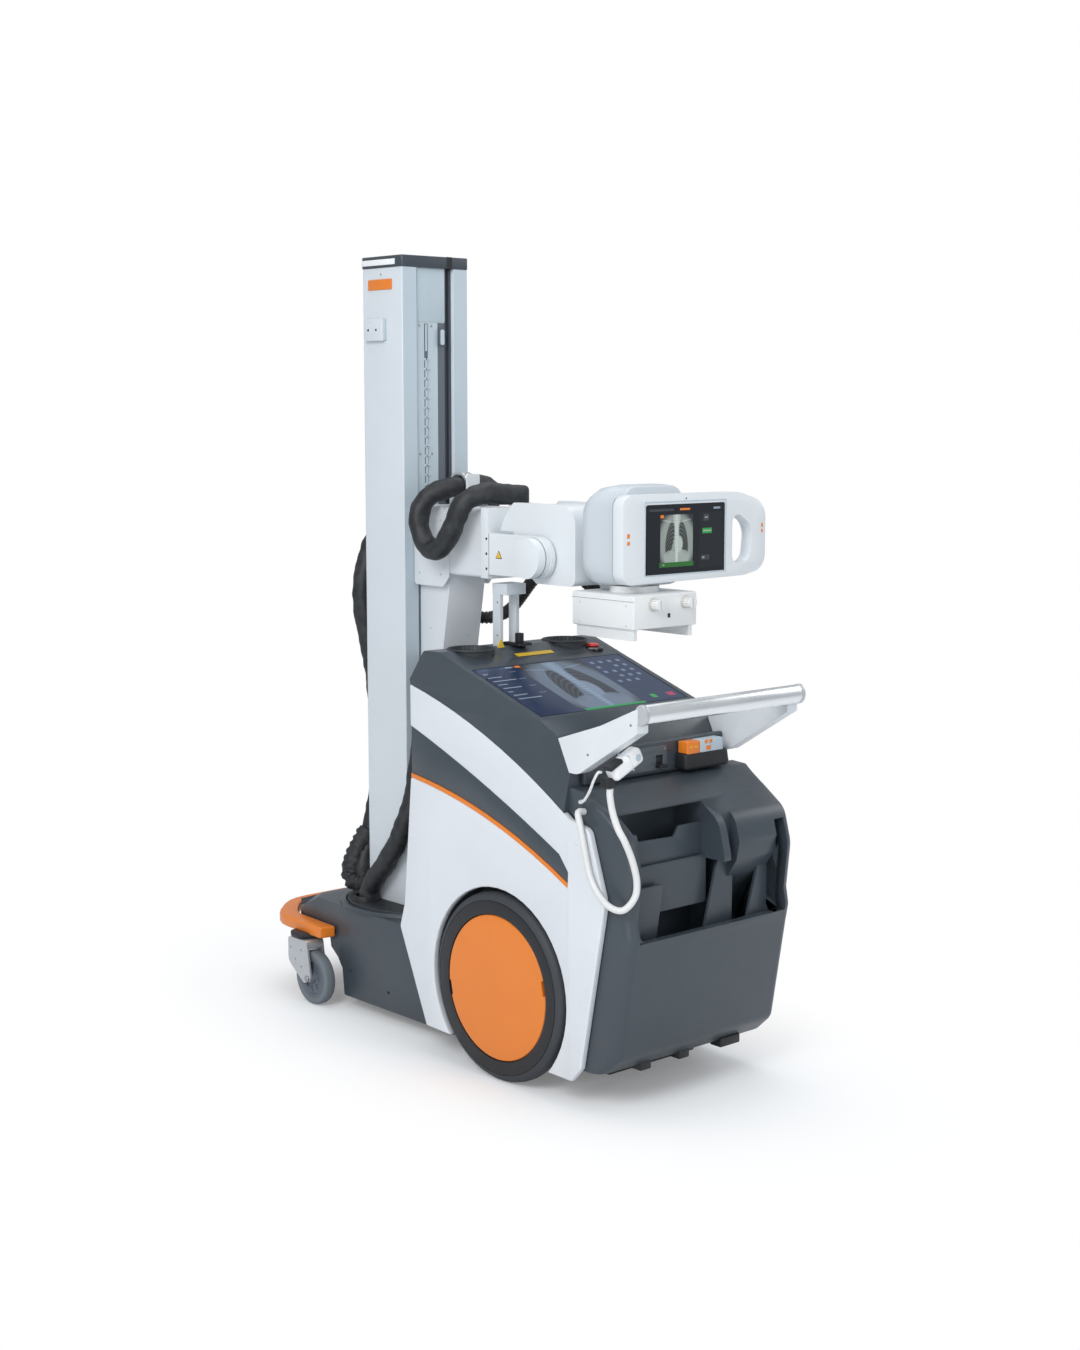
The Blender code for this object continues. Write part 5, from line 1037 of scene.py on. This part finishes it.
def makeConsoleDetails():
    rim = lifted(console["plateau"], (
        (0.0548, -0.0420), (0.0548, 0.0010), (0.0562, 0.0030), (0.0590, 0.0034), (0.0612, 0.0022),
        (0.0620, -0.0004), (0.0560, -0.0004), (0.0560, -0.0420)))
    floor = lifted(console["plateau"], (
        (0.0, -0.0430), (0.0520, -0.0430), (0.0548, -0.0400), (0.0548, -0.0445), (0.0, -0.0445)))
    x, y = console["cup"]
    for name, outline, steps, finish in (("cupRims", rim, 96, "slateDark"),
                                         ("cupFloors", floor, 64, "softBlack")):
        cups = [addTurned("cup", outline, (sign * x, y, 0), (0, 0, 1), steps) for sign in (-1, 1)]
        finishPiece(joinAll(name, cups), finish, "base", smooth=40)
    base = boxOf("stop_button")[0].z - 0.0010
    guard = addTurned("stopGuard", lifted(base, (
        (0.0170, 0.0060), (0.0190, 0.0070), (0.0235, 0.0066), (0.0275, 0.0035), (0.0280, 0.0005),
        (0.0170, 0.0005))), console["stop"], (0, 0, 1), 72)
    finishPiece(guard, "glossBlack", "base", smooth=40)
    knob = addTurned("stopKnob", lifted(base + 0.0165, (
        (0.0, 0.0), (0.0095, -0.0005), (0.0142, -0.0020), (0.0158, -0.0045), (0.0158, -0.0070),
        (0.0120, -0.0085))) + lifted(base, ((0.0095, 0.001), (0.0, 0.001))), console["stop"], (0, 0, 1), 72)
    finishPiece(knob, "stopRed", "base", smooth=40)
    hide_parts("stop_button")


dock = {"middle": (0.0, 0.003, 0.0), "place": (-0.040, 0.022, 0.0), "slim": (0.54, 0.62, 1, 1)}


def makeDockPost():  # slimmer than its solid, as in the photo
    post = dressNode("dock_post", "columnWhite", 0.0015, 3, "dockPost")
    moveMesh(post, Matrix.Translation(dock["place"]), Matrix.Diagonal(dock["slim"]),
             Matrix.Translation(-Vector(dock["middle"])))
    foot = addSheet("dockFoot", softRect((-0.034, -0.010), (0.012, 0.056), 0.006), "XY", 1.0372, 1.0440)
    finishPiece(foot, "softBlack", "base", 0.0015)
    addBoxes("base", (
        ("dockSwitch", (-0.030, -0.004, 1.0440), (-0.012, 0.012, 1.0700), "softBlack", 0.002, 3),))
    sign = addSheet("dockSign", softCorners(((-0.098, 1.0374), (-0.074, 1.0374), (-0.086, 1.0600)), 0.002),
                    "XZ", 0.0000, 0.0030)
    finishPiece(sign, "warnYellow", "base", 0.0004, 1)
    addScrews("dockScrews", "base", "steel",
              [((-0.0726, 0.030, z), (-1, 0, 0), 0.0026) for z in (1.066, 1.150)])


def makeYellowLabel():  # on the strip between the screen and the plateau, tilted less than the screen
    start, end = Vector((0, *slope["high"])), Vector((0, 0.020, console["plateau"]))
    up = (end - start).normalized()
    label = addBox("yellowLabel", (-0.062, 0.004, -0.0002), (0.062, 0.021, 0.0006))
    moveMesh(label, Matrix.Translation(start + up * 0.038), axesTurn((1, 0, 0), up, (0, -up.z, up.y)))
    finishPiece(label, "warnYellow", "base", 0.0002, 1)


# Carriage and arm

arm = {"pivot": (0, -0.159, 1.275), "cheek": 0.105, "sign": (-0.014, 1.2735), "signHalf": 0.0125,
       "signTall": 0.0215, "side": 0.079}


def makePivots():
    signs = (("warnEdge", 1.0, "slateDark", 0.0005), ("warnFace", 0.80, "warnYellow", 0.0008))
    for side, sign in sides:
        face = sign * arm["cheek"]
        seam = addBox("cheekSeam" + side, (face - 0.0004, 0.0240, 1.2235), (face + 0.0004, 0.0252, 1.3265))
        finishPiece(seam, "slateDark", "arm_end")

        def turned(name, outline, steps):
            return addTurned(name, outline, arm["pivot"], (sign, 0, 0), steps)

        cap = turned("pivotCap" + side, (
            (0.0, 0.1445), (0.0012, 0.1445), (0.0016, 0.1438), (0.0024, 0.1438), (0.0028, 0.1446),
            (0.0390, 0.1446), (0.0412, 0.1436), (0.0418, 0.1418), (0.0426, 0.1418), (0.0436, 0.1432),
            (0.0450, 0.1432), (0.0485, 0.1415), (0.0502, 0.1380), (0.0502, 0.1060), (0.0, 0.1060)), 128)
        finishPiece(cap, "headWhite", "arm_end", smooth=30)
        rings = [turned("ring", outline, 128) for outline in (
            ((0.0428, 0.1430), (0.0428, 0.1449), (0.0466, 0.1442), (0.0466, 0.1425)),
            ((0.0490, 0.1200), (0.0507, 0.1200), (0.0507, 0.1222), (0.0490, 0.1222)))]
        finishPiece(joinAll("pivotRing" + side, rings), "casterRubber", "arm_end", smooth=30)
        dot = turned("pivotDot" + side,
                     ((0.0, 0.1447), (0.0020, 0.1445), (0.0024, 0.1436), (0.0, 0.1436)), 24)
        finishPiece(dot, "slateDark", "arm_end", smooth=40)
        y, z = arm["sign"]
        for name, grow, finish, lift in signs:
            half, tall = arm["signHalf"] * grow, arm["signTall"] * grow
            outline = softCorners(((y - half, z - tall * 0.40), (y + half, z - tall * 0.40),
                                   (y, z + tall * 0.60)), 0.0016)
            low, high = sorted((face, face + sign * lift))
            finishPiece(addSheet(name + side, outline, "YZ", low, high), finish, "arm_end")


def makeArmDetails():
    makePivots()
    addScrews("cheekScrews", "arm_end", "slateDark",
              [((sign * arm["cheek"], 0.034, z), (sign, 0, 0), 0.0036)
               for sign in (-1, 1) for z in (1.3130, 1.2750, 1.2370)])
    collar = addBox("armCollar", (-0.0768, 0.0600, 1.2075), (0.0768, 0.0680, 1.3865))
    cutAway(collar, addBox("bore", (-0.0690, 0.05, 1.2150), (0.0690, 0.08, 1.3790)))
    finishPiece(collar, "headWhite", "carriage", 0.0015)
    cheek = softCorners(((0.2180, 1.2020), (0.2420, 1.1760), (0.3550, 1.1760), (0.3620, 1.1840),
                         (0.3620, 1.3700), (0.3480, 1.3862), (0.2440, 1.3862), (0.2180, 1.3560)), 0.004)
    plates = [addSheet("cheek", cheek, "YZ", *sorted((sign * (arm["side"] - 0.0045), sign * arm["side"])))
              for sign in (-1, 1)]
    finishPiece(joinAll("carriageCheeks", plates), "panelWhite", "carriage", 0.0014)
    addScrews("carriageScrews", "carriage", "plateGrey",
              [((sign * arm["side"], y, z), (sign, 0, 0), 0.0034)
               for sign in (-1, 1) for y in (0.3400, 0.2500) for z in (1.3500, 1.2080)]
              + [((sign * 0.0600, 0.318, 1.060), (sign, 0, 0), 0.0030) for sign in (-1, 1)]
              + [((0.020, 0.2613, 1.0400), (0, -1, 0.15), 0.0034)])
    addBoxes("carriage", (
        ("armSlotCover", (-0.070, 0.0585, 1.3790), (0.070, 0.0640, 1.3862), "softBlack", 0.0005, 1),))
    # The cable's end fitting and its foot, on top of the fork
    addBoxes("arm_end", (
        ("cableGland", (0.0240, 0.0400, 1.3903), (0.0520, 0.0920, 1.4440), "cableSleeve", 0.0136, 6),
        ("cableClip", (0.020, 0.0380, 1.3903), (0.058, 0.0960, 1.3990), "headWhite", 0.002, 3)))
    low, high = boxOf("cable_strap")
    outline = softRect((low.x - 0.004, low.z + 0.001), (high.x + 0.008, high.z - 0.004), 0.006)
    post = addSheet("strapPost", outline, "XZ", low.y - 0.006, low.y - 0.0008)
    finishPiece(post, "headWhite", "carriage", 0.0016, 3)
    addScrews("strapScrews", "carriage", "steel",
              [((low.x + 0.005, low.y + 0.012, high.z - 0.004), (0, 0, 1), 0.0030)])


def addMark(x, z, wide, tall, face, lift, depth):  # a small raised rectangle on a face to the rear
    return addBox("mark", (x - wide / 2, face - lift, z - tall / 2),
                  (x + wide / 2, face + depth, z + tall / 2))


def makeHeadDetails():
    front = boxOf("head_bezel")[0].y
    marks = [addMark(*row, front, 0.0006, 0.0010)
             for row in ((-0.0995, 1.3420, 0.0085, 0.0105), (-0.0995, 1.3250, 0.0085, 0.0085),
                         (0.3640, 1.3520, 0.0060, 0.0100), (0.3640, 1.3380, 0.0060, 0.0080))]
    finishPiece(joinAll("bezelMarks", marks), "orange", "head", 0.0003, 1)
    low, high = boxOf("head_display")
    rim, bore = [addBox("displayRim", (low.x - grow, front - lift, low.z - grow),
                        (high.x + grow, front + depth, high.z + grow))
                 for grow, lift, depth in ((0.0035, 0.0012, 0.0006), (0.0006, 0.01, 0.01))]
    cutAway(rim, bore)
    finishPiece(rim, "plateGrey", "head", 0.0005)
    middle, top = (low.x + high.x) / 2, high.z + 0.0085
    sensor = addRod("displaySensor", (middle, front + 0.001, top), (middle, front - 0.0004, top), 0.0022, 20)
    finishPiece(sensor, "slateDark", "head", smooth=40)


collimator = {"x": 0.0045, "y": -0.389, "half": 0.1065, "knobs": (-0.039, 0.069), "knobHeight": 1.180,
              "ribs": 14, "ribReach": 0.0131}


def makeCollimatorDetails():
    dressNode("collimator", "boxWhite", 0.0018, 3, "collimatorBox")
    middle, half, z = collimator["x"], collimator["half"], collimator["knobHeight"]
    front = collimator["y"] - half
    for index, x in enumerate(collimator["knobs"]):
        place = (x, front, z)
        body = addTurned("fieldKnob", (
            (0.0, 0.0245), (0.0105, 0.0242), (0.0122, 0.0230), (0.0128, 0.0200), (0.0130, 0.0085),
            (0.0150, 0.0070), (0.0155, 0.0020), (0.0152, -0.0005), (0.0, -0.0005)), place, (0, -1, 0), 64)
        bar = addMark(x, z, 0.0040, 0.0230, front, 0.0285, -0.0240)
        ribs = []
        for step in range(collimator["ribs"]):
            rib = addBox("rib", (-0.0009, -0.0235, -0.0010), (0.0009, -0.0085, 0.0010))
            turn = Matrix.Rotation(2 * math.pi * step / collimator["ribs"], 4, "Y")
            ribs.append(moveMesh(rib, Matrix.Translation(place), turn,
                                 Matrix.Translation((0, 0, collimator["ribReach"]))))
        finishPiece(joinAll("fieldKnob" + str(index), [body, bar] + ribs), "knobGrey", "collimator",
                    edge=0.0004, segments=1, angle=60, smooth=35)
    addBoxes("collimator", (
        ("fieldMark", (0.0110, front - 0.0004, 1.1455), (0.0200, front + 0.0010, 1.1560),
         "softBlack", 0.0003, 1),
        ("collimatorSeam", (middle - 0.1069, front + 0.0010, 1.1885),
         (middle + 0.1069, collimator["y"] + 0.1069, 1.1893), "slateLight", 0.0, 1),
        ("beamWindow", (middle - 0.055, -0.444, 1.1196), (middle + 0.055, -0.334, 1.1222), "screenGlass",
         0.0006, 1)))
    addScrews("collimatorScrews", "collimator", "railBeige",
              [((middle - half, y, z), (-1, 0, 0), 0.0024) for y in (-0.470, -0.310) for z in (1.131, 1.178)])


# Handle, hand switch and rear panel

handle = {"bracket": 0.25, "tipFrom": -0.680, "half": 0.2690, "screwFace": 0.2704}


def makeBrackets():  # their tips end behind the bar
    for side, sign in sides:
        shell = dressNode("handle_bracket_" + side.lower(), "headWhite", 0.004, 3, "handleBracket" + side)
        x = sign * handle["bracket"]
        cutAway(shell, addBox("tip", (x - 0.05, -0.80, 0.90), (x + 0.05, handle["tipFrom"], 1.05)))


def makeHandleDetails():  # the bar's end caps cover the brackets' tips
    low, high = boxOf("handle_bar")
    half = handle["half"]
    middle = (high + low) / 2
    oval = Matrix.Diagonal((1, (high.y - low.y) / 2, (high.z - low.z) / 2, 1))

    def alongBar(name, outline, x):
        item = addTurned(name, outline, (0, 0, 0), (1, 0, 0), 96)
        return moveMesh(item, Matrix.Translation(middle + Vector((x, 0, 0))), oval)

    bar = alongBar("handleTube", mirrored(((0.0, half), (0.985, half), (1.0, half - 0.0015))), 0.0)
    finishPiece(bar, "barAlu", "base", smooth=30)
    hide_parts("handle_bar")
    ring = mirrored(((0.90, 0.006), (1.02, 0.006), (1.045, 0.004)))
    collars = [alongBar("handleCollar", ring, sign * (half - 0.0065)) for sign in (-1, 1)]
    finishPiece(joinAll("handleCollars", collars), "castAlu", "base", smooth=40)
    addScrews("bracketScrews", "base", "steel",
              [((sign * handle["screwFace"], y, z), (sign, 0, 0), 0.0032) for sign in (-1, 1)
               for y, z in ((-0.660, 0.935), (-0.520, 0.850))])


handSwitch = {"start": (-0.276, -0.600, 0.815), "end": (-0.188, -0.600, 0.857), "half": 0.0190}


def makeSwitchDetails():  # laid out lying along X, then turned to its slope
    start, end = Vector(handSwitch["start"]), Vector(handSwitch["end"])
    along = (end - start).normalized()
    outward = Vector((0, -1, 0))
    turn = axesTurn(along, outward, along.cross(outward).normalized())
    long, half = (end - start).length / 2, handSwitch["half"]

    def placed(item):
        return moveMesh(item, Matrix.Translation((start + end) / 2), turn)

    shell = placed(addBox("handSwitch", (-long, -half, -0.0205), (long, half, 0.0205)))
    finishPiece(shell, "brightWhite", "base", 0.0125, 6)
    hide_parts("hand_switch")
    clip = placed(addBox("switchClip", (-long - 0.008, -0.0060, -0.0260), (-long + 0.034, 0.0200, -0.0150)))
    stem = addBox("switchStem", (-0.2900, -0.6060, 0.7850), (-0.2640, -0.5800, 0.8080))
    finishPiece(joinAll("switchClip", [clip, stem]), "softBlack", "base", 0.003, 3)
    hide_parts("switch_holder")
    button = placed(addTurned("switchButton", (
        (0.0, 0.0205), (0.0080, 0.0200), (0.0092, 0.0185), (0.0092, 0.0160), (0.0, 0.0160)),
        (0.030, 0, 0), (0, 1, 0), 40))
    finishPiece(button, "plateGrey", "base", smooth=40)
    seam = placed(addBox("switchSeam", (0.006, -half - 0.0003, -0.0208), (0.0072, half + 0.0003, 0.0208)))
    finishPiece(seam, "plateGrey", "base", 0.0060, 4)


panel = {"face": -0.472, "ports": (-0.085, 0.010), "hole": (0.0236, 0.0246),
         "packInset": (0.004, -0.004, -0.012), "packSplit": 0.36}


def makeRearDetails():
    face = panel["face"]
    front = face - 0.0016
    outline = softRect((-0.130, 0.776), (0.035, 0.834), 0.006)
    plate = addSheet("portPlate", outline, "XZ", front, face + 0.0004)
    for x in panel["ports"]:
        cutAway(plate, addMark(x, 0.7995, *panel["hole"], face, 0.008, 0.012))
    finishPiece(plate, "slateLight", "base", 0.0005)
    sockets = [addRod("socket", (x, -0.4700, 0.7995), (x, -0.4640, 0.7995), 0.0095) for x in panel["ports"]]
    finishPiece(joinAll("portSockets", sockets), "softBlack", "base", 0.0008)
    addScrews("portScrews", "base", "steel",
              [((x, front, z), (0, -1, 0), 0.0026) for x in (-0.122, 0.027) for z in (0.784, 0.826)])
    led = addRod("panelLight", (-0.105, front, 0.8225), (-0.105, face - 0.0030, 0.8225), 0.0025, 20)
    finishPiece(led, "ledGreen", "base", smooth=40)
    # The detector pack in its cradle: an orange and a grey half, with keys and marks
    low, high = boxOf("detector_pack")
    aside, down, short = panel["packInset"]
    low, high = low + Vector((aside, 0.0, down)), high + Vector((short, 0.0, short))
    split = low.x + panel["packSplit"] * (high.x - low.x)
    addBoxes("base", (
        ("cordClip", (-0.0045, face - 0.018, 0.7820), (0.0245, front, 0.7890), "softBlack", 0.002, 2),
        ("packRight", (split + 0.0004, low.y, low.z), tuple(high), "plateGrey", 0.0025, 3)))
    left = addBox("packLeft", low, (split - 0.0004, high.y, high.z))
    finishPiece(left, "orange", "base", 0.0025, 3)
    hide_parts("detector_pack")
    keys = [addMark(split + x, low.z + z, wide, tall, low.y, 0.0012, 0.0004)
            for x, z, wide, tall in ((0.020, 0.027, 0.010, 0.009), (0.036, 0.027, 0.010, 0.009),
                                     (0.028, 0.011, 0.016, 0.010))]
    finishPiece(joinAll("packKeys", keys), "orange", "base", 0.0006)
    marks = [addMark(low.x + x, low.z + 0.018, 0.008, 0.004, low.y, 0.0006, 0.0004) for x in (0.014, 0.030)]
    finishPiece(joinAll("packMarks", marks), "warnYellow", "base", 0.0002, 1)


pocketFoot = ((-0.500, 0.190, 0.01), (-0.600, 0.190, 0.01), (-0.6400, 0.424, 0.0), (-0.710, 0.424, 0.0))
binShape = {
    "left": -0.2689, "right": 0.2864, "edge": 0.028, "roundFrom": -0.500, "roundOver": 0.060,
    "fillet": (-0.2400, 0.4200), "filletReach": 0.042, "filletDepth": (-0.6560, -0.6250),
    # outline in YZ with each corner's radius, from the front at the bottom round over the top
    "outline": ((-0.4853, 0.095, 0.004), (-0.4853, 0.690, 0.0), (-0.4553, 0.7105, 0.0), (-0.4553, 0.765, 0.0),
                (-0.500, 0.762, 0.020), (-0.575, 0.722, 0.060), (-0.646, 0.672, 0.060),
                (-0.668, 0.590, 0.080), (-0.656, 0.478, 0.030), (-0.664, 0.436, 0.032),
                (-0.655, 0.390, 0.080), (-0.613, 0.140, 0.040), (-0.565, 0.095, 0.034)),
    # hollows open to the rear: x from and to, outline in YZ with radii
    "hollows": (
        (-0.2389, 0.0350, (*pocketFoot, (-0.710, 0.716, 0.0), (-0.560, 0.712, 0.030),
                           (-0.500, 0.700, 0.020))),
        (0.0580, 0.0930, ((-0.628, 0.560, 0.0), (-0.710, 0.560, 0.0), (-0.710, 0.700, 0.0),
                          (-0.628, 0.700, 0.0))),
        (0.0300, 0.0935, (*pocketFoot, (-0.710, 0.578, 0.0), (-0.500, 0.578, 0.02))),
        (0.0930, 0.2250, ((-0.510, 0.190, 0.0), (-0.600, 0.190, 0.0), *pocketFoot[2:], (-0.710, 0.640, 0.0),
                          (-0.664, 0.632, 0.008), (-0.652, 0.570, 0.040), (-0.620, 0.525, 0.050),
                          (-0.570, 0.480, 0.050), (-0.530, 0.400, 0.040))),
        (0.2250, 0.2590, (*pocketFoot, (-0.710, 0.652, 0.0), (-0.600, 0.652, 0.02), (-0.500, 0.620, 0.02))),
    ),
    # plates that hold the papers: outline in XZ, y from and to
    "plates": (
        (((-0.245, 0.345), (-0.156, 0.345), (-0.121, 0.541), (-0.245, 0.541)), -0.620, -0.612),
        (((0.000, 0.345), (0.112, 0.345), (0.114, 0.575), (0.063, 0.575)), -0.620, -0.612),
        (((0.148, 0.385), (0.265, 0.385), (0.265, 0.541), (0.192, 0.541)), -0.630, -0.622),
        (((-0.245, 0.470), (0.040, 0.470), (0.040, 0.586), (-0.245, 0.586)), -0.602, -0.594),
        (((-0.245, 0.575), (0.040, 0.575), (0.040, 0.664), (-0.042, 0.664), (-0.058, 0.640), (-0.176, 0.644),
          (-0.181, 0.662), (-0.245, 0.662)), -0.590, -0.584)),
    "trayFloor": ((-0.245, -0.600, 0.5745), (0.040, -0.498, 0.5820)),
    "feet": ((-0.150, -0.560, 0.036), (-0.020, -0.560, 0.036), (0.120, -0.565, 0.070)),
}


def addRoundedShell(name, outline, left, right, radius):  # an outline in YZ across X, rear edges rounded
    angles = [math.radians(15 * step) for step in range(7)]
    places = [(radius * (1 - math.cos(angle)), radius * (1 - math.sin(angle))) for angle in angles]
    sections = [(left + depth, drawn) for depth, drawn in places]
    sections += [(right - depth, drawn) for depth, drawn in reversed(places)]
    count, last = len(outline), len(sections) - 1
    deselectAll()
    bpy.ops.mesh.primitive_grid_add(x_subdivisions=count, y_subdivisions=last, size=1, location=(0, 0, 0))
    item = bpy.context.active_object
    item.name = name
    for vertex in item.data.vertices:
        y, z = outline[round((vertex.co.x + 0.5) * count) % count]
        x, drawn = sections[round((vertex.co.y + 0.5) * last)]
        rear = max(0.0, min(1.0, (binShape["roundFrom"] - y) / binShape["roundOver"]))
        vertex.co = at(x, y + drawn * rear * rear * (3 - 2 * rear), z)
    cleanMesh(item)
    bpy.ops.object.mode_set(mode="EDIT")
    bpy.ops.mesh.select_all(action="DESELECT")
    bpy.ops.mesh.select_non_manifold()
    bpy.ops.mesh.fill_holes(sides=0)
    bpy.ops.object.mode_set(mode="OBJECT")
    cleanMesh(item, 0.0)
    return item


def makeBin():
    shell = addRoundedShell("binShell", roundRows(binShape["outline"], 7, 0.48), binShape["left"],
                            binShape["right"], binShape["edge"])
    for x0, x1, rows in binShape["hollows"]:
        cutAway(shell, addSheet("hollow", roundRows(rows, 7, 0.48), "YZ", x0, x1))
    (x, z), reach = binShape["fillet"], binShape["filletReach"]
    fillet = [(x, z), (x + reach, z)]
    for index in range(7):
        angle = math.radians(270 - 15 * index)
        fillet.append((x + reach + reach * math.cos(angle), z + reach + reach * math.sin(angle)))
    cutAway(shell, addSheet("fillet", fillet, "XZ", *binShape["filletDepth"]), "UNION")
    finishPiece(shell, "slate", "base", edge=0.0028, segments=3, angle=38, smooth=40)
    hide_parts("document_bin")
    for index, (outline, y0, y1) in enumerate(binShape["plates"]):
        plate = addSheet("binPlate" + str(index), softCorners(outline, 0.006), "XZ", y0, y1)
        finishPiece(plate, "slate", "base", edge=0.0022, segments=3, angle=40)
    addBoxes("base", (("binTray", *binShape["trayFloor"], "slate", 0.001, 2),))
    feet = [addBox("foot", (x, y - 0.018, 0.084), (x + wide, y + 0.02, 0.108))
            for x, y, wide in binShape["feet"]]
    finishPiece(joinAll("binFeet", feet), "frameBlack", "base", 0.004)


# Base and side panels

panelScrews = ((0.110, 0.900), (0.105, 0.640), (0.020, 0.110), (-0.500, 0.640), (-0.540, 0.300),
               (-0.500, 0.090))
coverScrews = ((0.500, 0.110), (0.330, 0.085), (0.130, 0.085))


def makeBaseDetails():
    low, high = boxOf("base_cover")
    for name, finish, half, radius, places in (
            ("panelScrews", "panelWhite", 0.2875, 0.0030, panelScrews),
            ("coverScrews", "softBlack", (high.x - low.x) / 2 + 0.0002, 0.0042, coverScrews)):
        addScrews(name, "base", finish,
                  [((sign * half, y, z), (sign, 0, 0), radius) for sign in (-1, 1) for y, z in places])


bumper = {"grow": 0.010, "drop": 0.006, "thicken": 1.30}
bezel = {"from": 1.36, "drop": 0.010}
casing = {"from": -0.335, "over": 0.085, "drawn": 0.024, "left": -0.1160, "right": 0.1240, "leftOf": -0.05}


def widenBumper():
    shell = dressNode("bumper", "orange", 0.005, 4, "bumperStrip")
    low, high = boxOf("bumper")
    size = Matrix.Diagonal((1 + bumper["grow"] / (high.x - low.x), 1 + bumper["grow"] / (high.y - low.y),
                            bumper["thicken"], 1))
    moveMesh(shell, Matrix.Translation((0, low.y, low.z - bumper["drop"])), size,
             Matrix.Translation((0, -low.y, -low.z)))


def shapeBezel():  # its top lies a little under the casing's
    shell = dressNode("head_bezel", "headWhite", 0.005, 4, "headBezel")
    start = bezel["from"]
    squeeze = 1 - bezel["drop"] / (boxOf("head_bezel")[1].z - start)
    for vertex in shell.data.vertices:
        if vertex.co.z > start:
            vertex.co.z = start + (vertex.co.z - start) * squeeze


def shapeCasing():  # drawn in a little behind the bezel, in a darker white as painted shade, with a dark ring as painted shade where it meets the bezel
    shell = dressNode("tube_casing", "casingShadedWhite", 0.004, 3, "tubeCasing")
    for vertex in shell.data.vertices:
        y = vertex.co.y - shift.y
        if vertex.co.x - shift.x < casing["leftOf"]:
            vertex.co.x += casing["drawn"] * max(0.0, min(1.0, (casing["from"] - y) / casing["over"]))
    low, high = boxOf("head_bezel")
    # a thin dark ring at the bezel's back: painted shade where the casing meets it
    outline = softRect((casing["left"], low.z + 0.003), (casing["right"], high.z - 0.013), 0.030, 8)
    finishPiece(addSheet("bezelShadeRing", outline, "XZ", high.y, high.y + 0.0030), "casterHub", "head")


# Solids carried over with softened edges: finish, edge radius, segments, nodes
dressTable = (
    ("slateDark", 0.003, 2, ("cabinet_core",)), ("slate", 0.0015, 2, ("side_band_left", "side_band_right")),
    ("panelWhite", 0.004, 3, ("side_panel_left", "side_panel_right")),
    ("orange", 0.001, 2, ("stripe_left", "stripe_right")), ("slate", 0.001, 2, ("connector_panel",)),
    ("screenGlass", 0.0008, 1, ("console_screen", "head_display")),
    ("softBlack", 0.002, 2, ("detector_cradle",)), ("slate", 0.016, 4, ("base_cover",)),
    ("frameBlack", 0.002, 2, ("caster_beam",)), ("frameBlack", 0.003, 2, ("under_frame", "battery_block")),
    ("steel", 0.001, 2, ("axle_left", "axle_right")),
    ("castAlu", 0.0015, 3, ("caster_fork_left", "caster_fork_right")),
    ("columnWhite", 0.0015, 3, ("mast",)), ("slate", 0.002, 2, ("column_cap",)),
    ("panelWhite", 0.003, 3, ("carriage",)), ("panelWhite", 0.002, 2, ("arm_middle",)),
    ("satinAlu", 0.002, 3, ("cable_strap",)), ("headWhite", 0.003, 3, ("arm_fork",)),
    ("headWhite", 0.006, 4, ("yoke",)),
)


def dressNodes():
    shapeCasing()
    widenBumper()
    dressNode("console_top", "slate", 0.003, 3, "consoleShell")
    shapeBezel()
    for finish, edge, segments, nodes in dressTable:
        for name in nodes:
            dressNode(name, finish, edge, segments)


makeCamera()
makeLight()
makeFloor()
makeMoulded()
makeBrushed()
makeWoven()
makeFinishes()
makeCords()
makeSlack()
print("camera, light, finishes and cords ready")
screwHead = makeScrewHead()
makeRearWheels()
makeCasterWheels()
makeCasterForks()
print("wheels ready")
makeColumnDetails()
makeChain()
makeColumnFoot()
print("column ready")
makeScreens()
makeConsoleDetails()
makeDockPost()
makeYellowLabel()
print("console ready")
makeArmDetails()
makeHeadDetails()
makeCollimatorDetails()
print("arm and head ready")
makeBrackets()
makeHandleDetails()
makeSwitchDetails()
makeRearDetails()
makeBin()
makeBaseDetails()
dressNodes()
bpy.data.objects.remove(screwHead)
print("pieces ready")
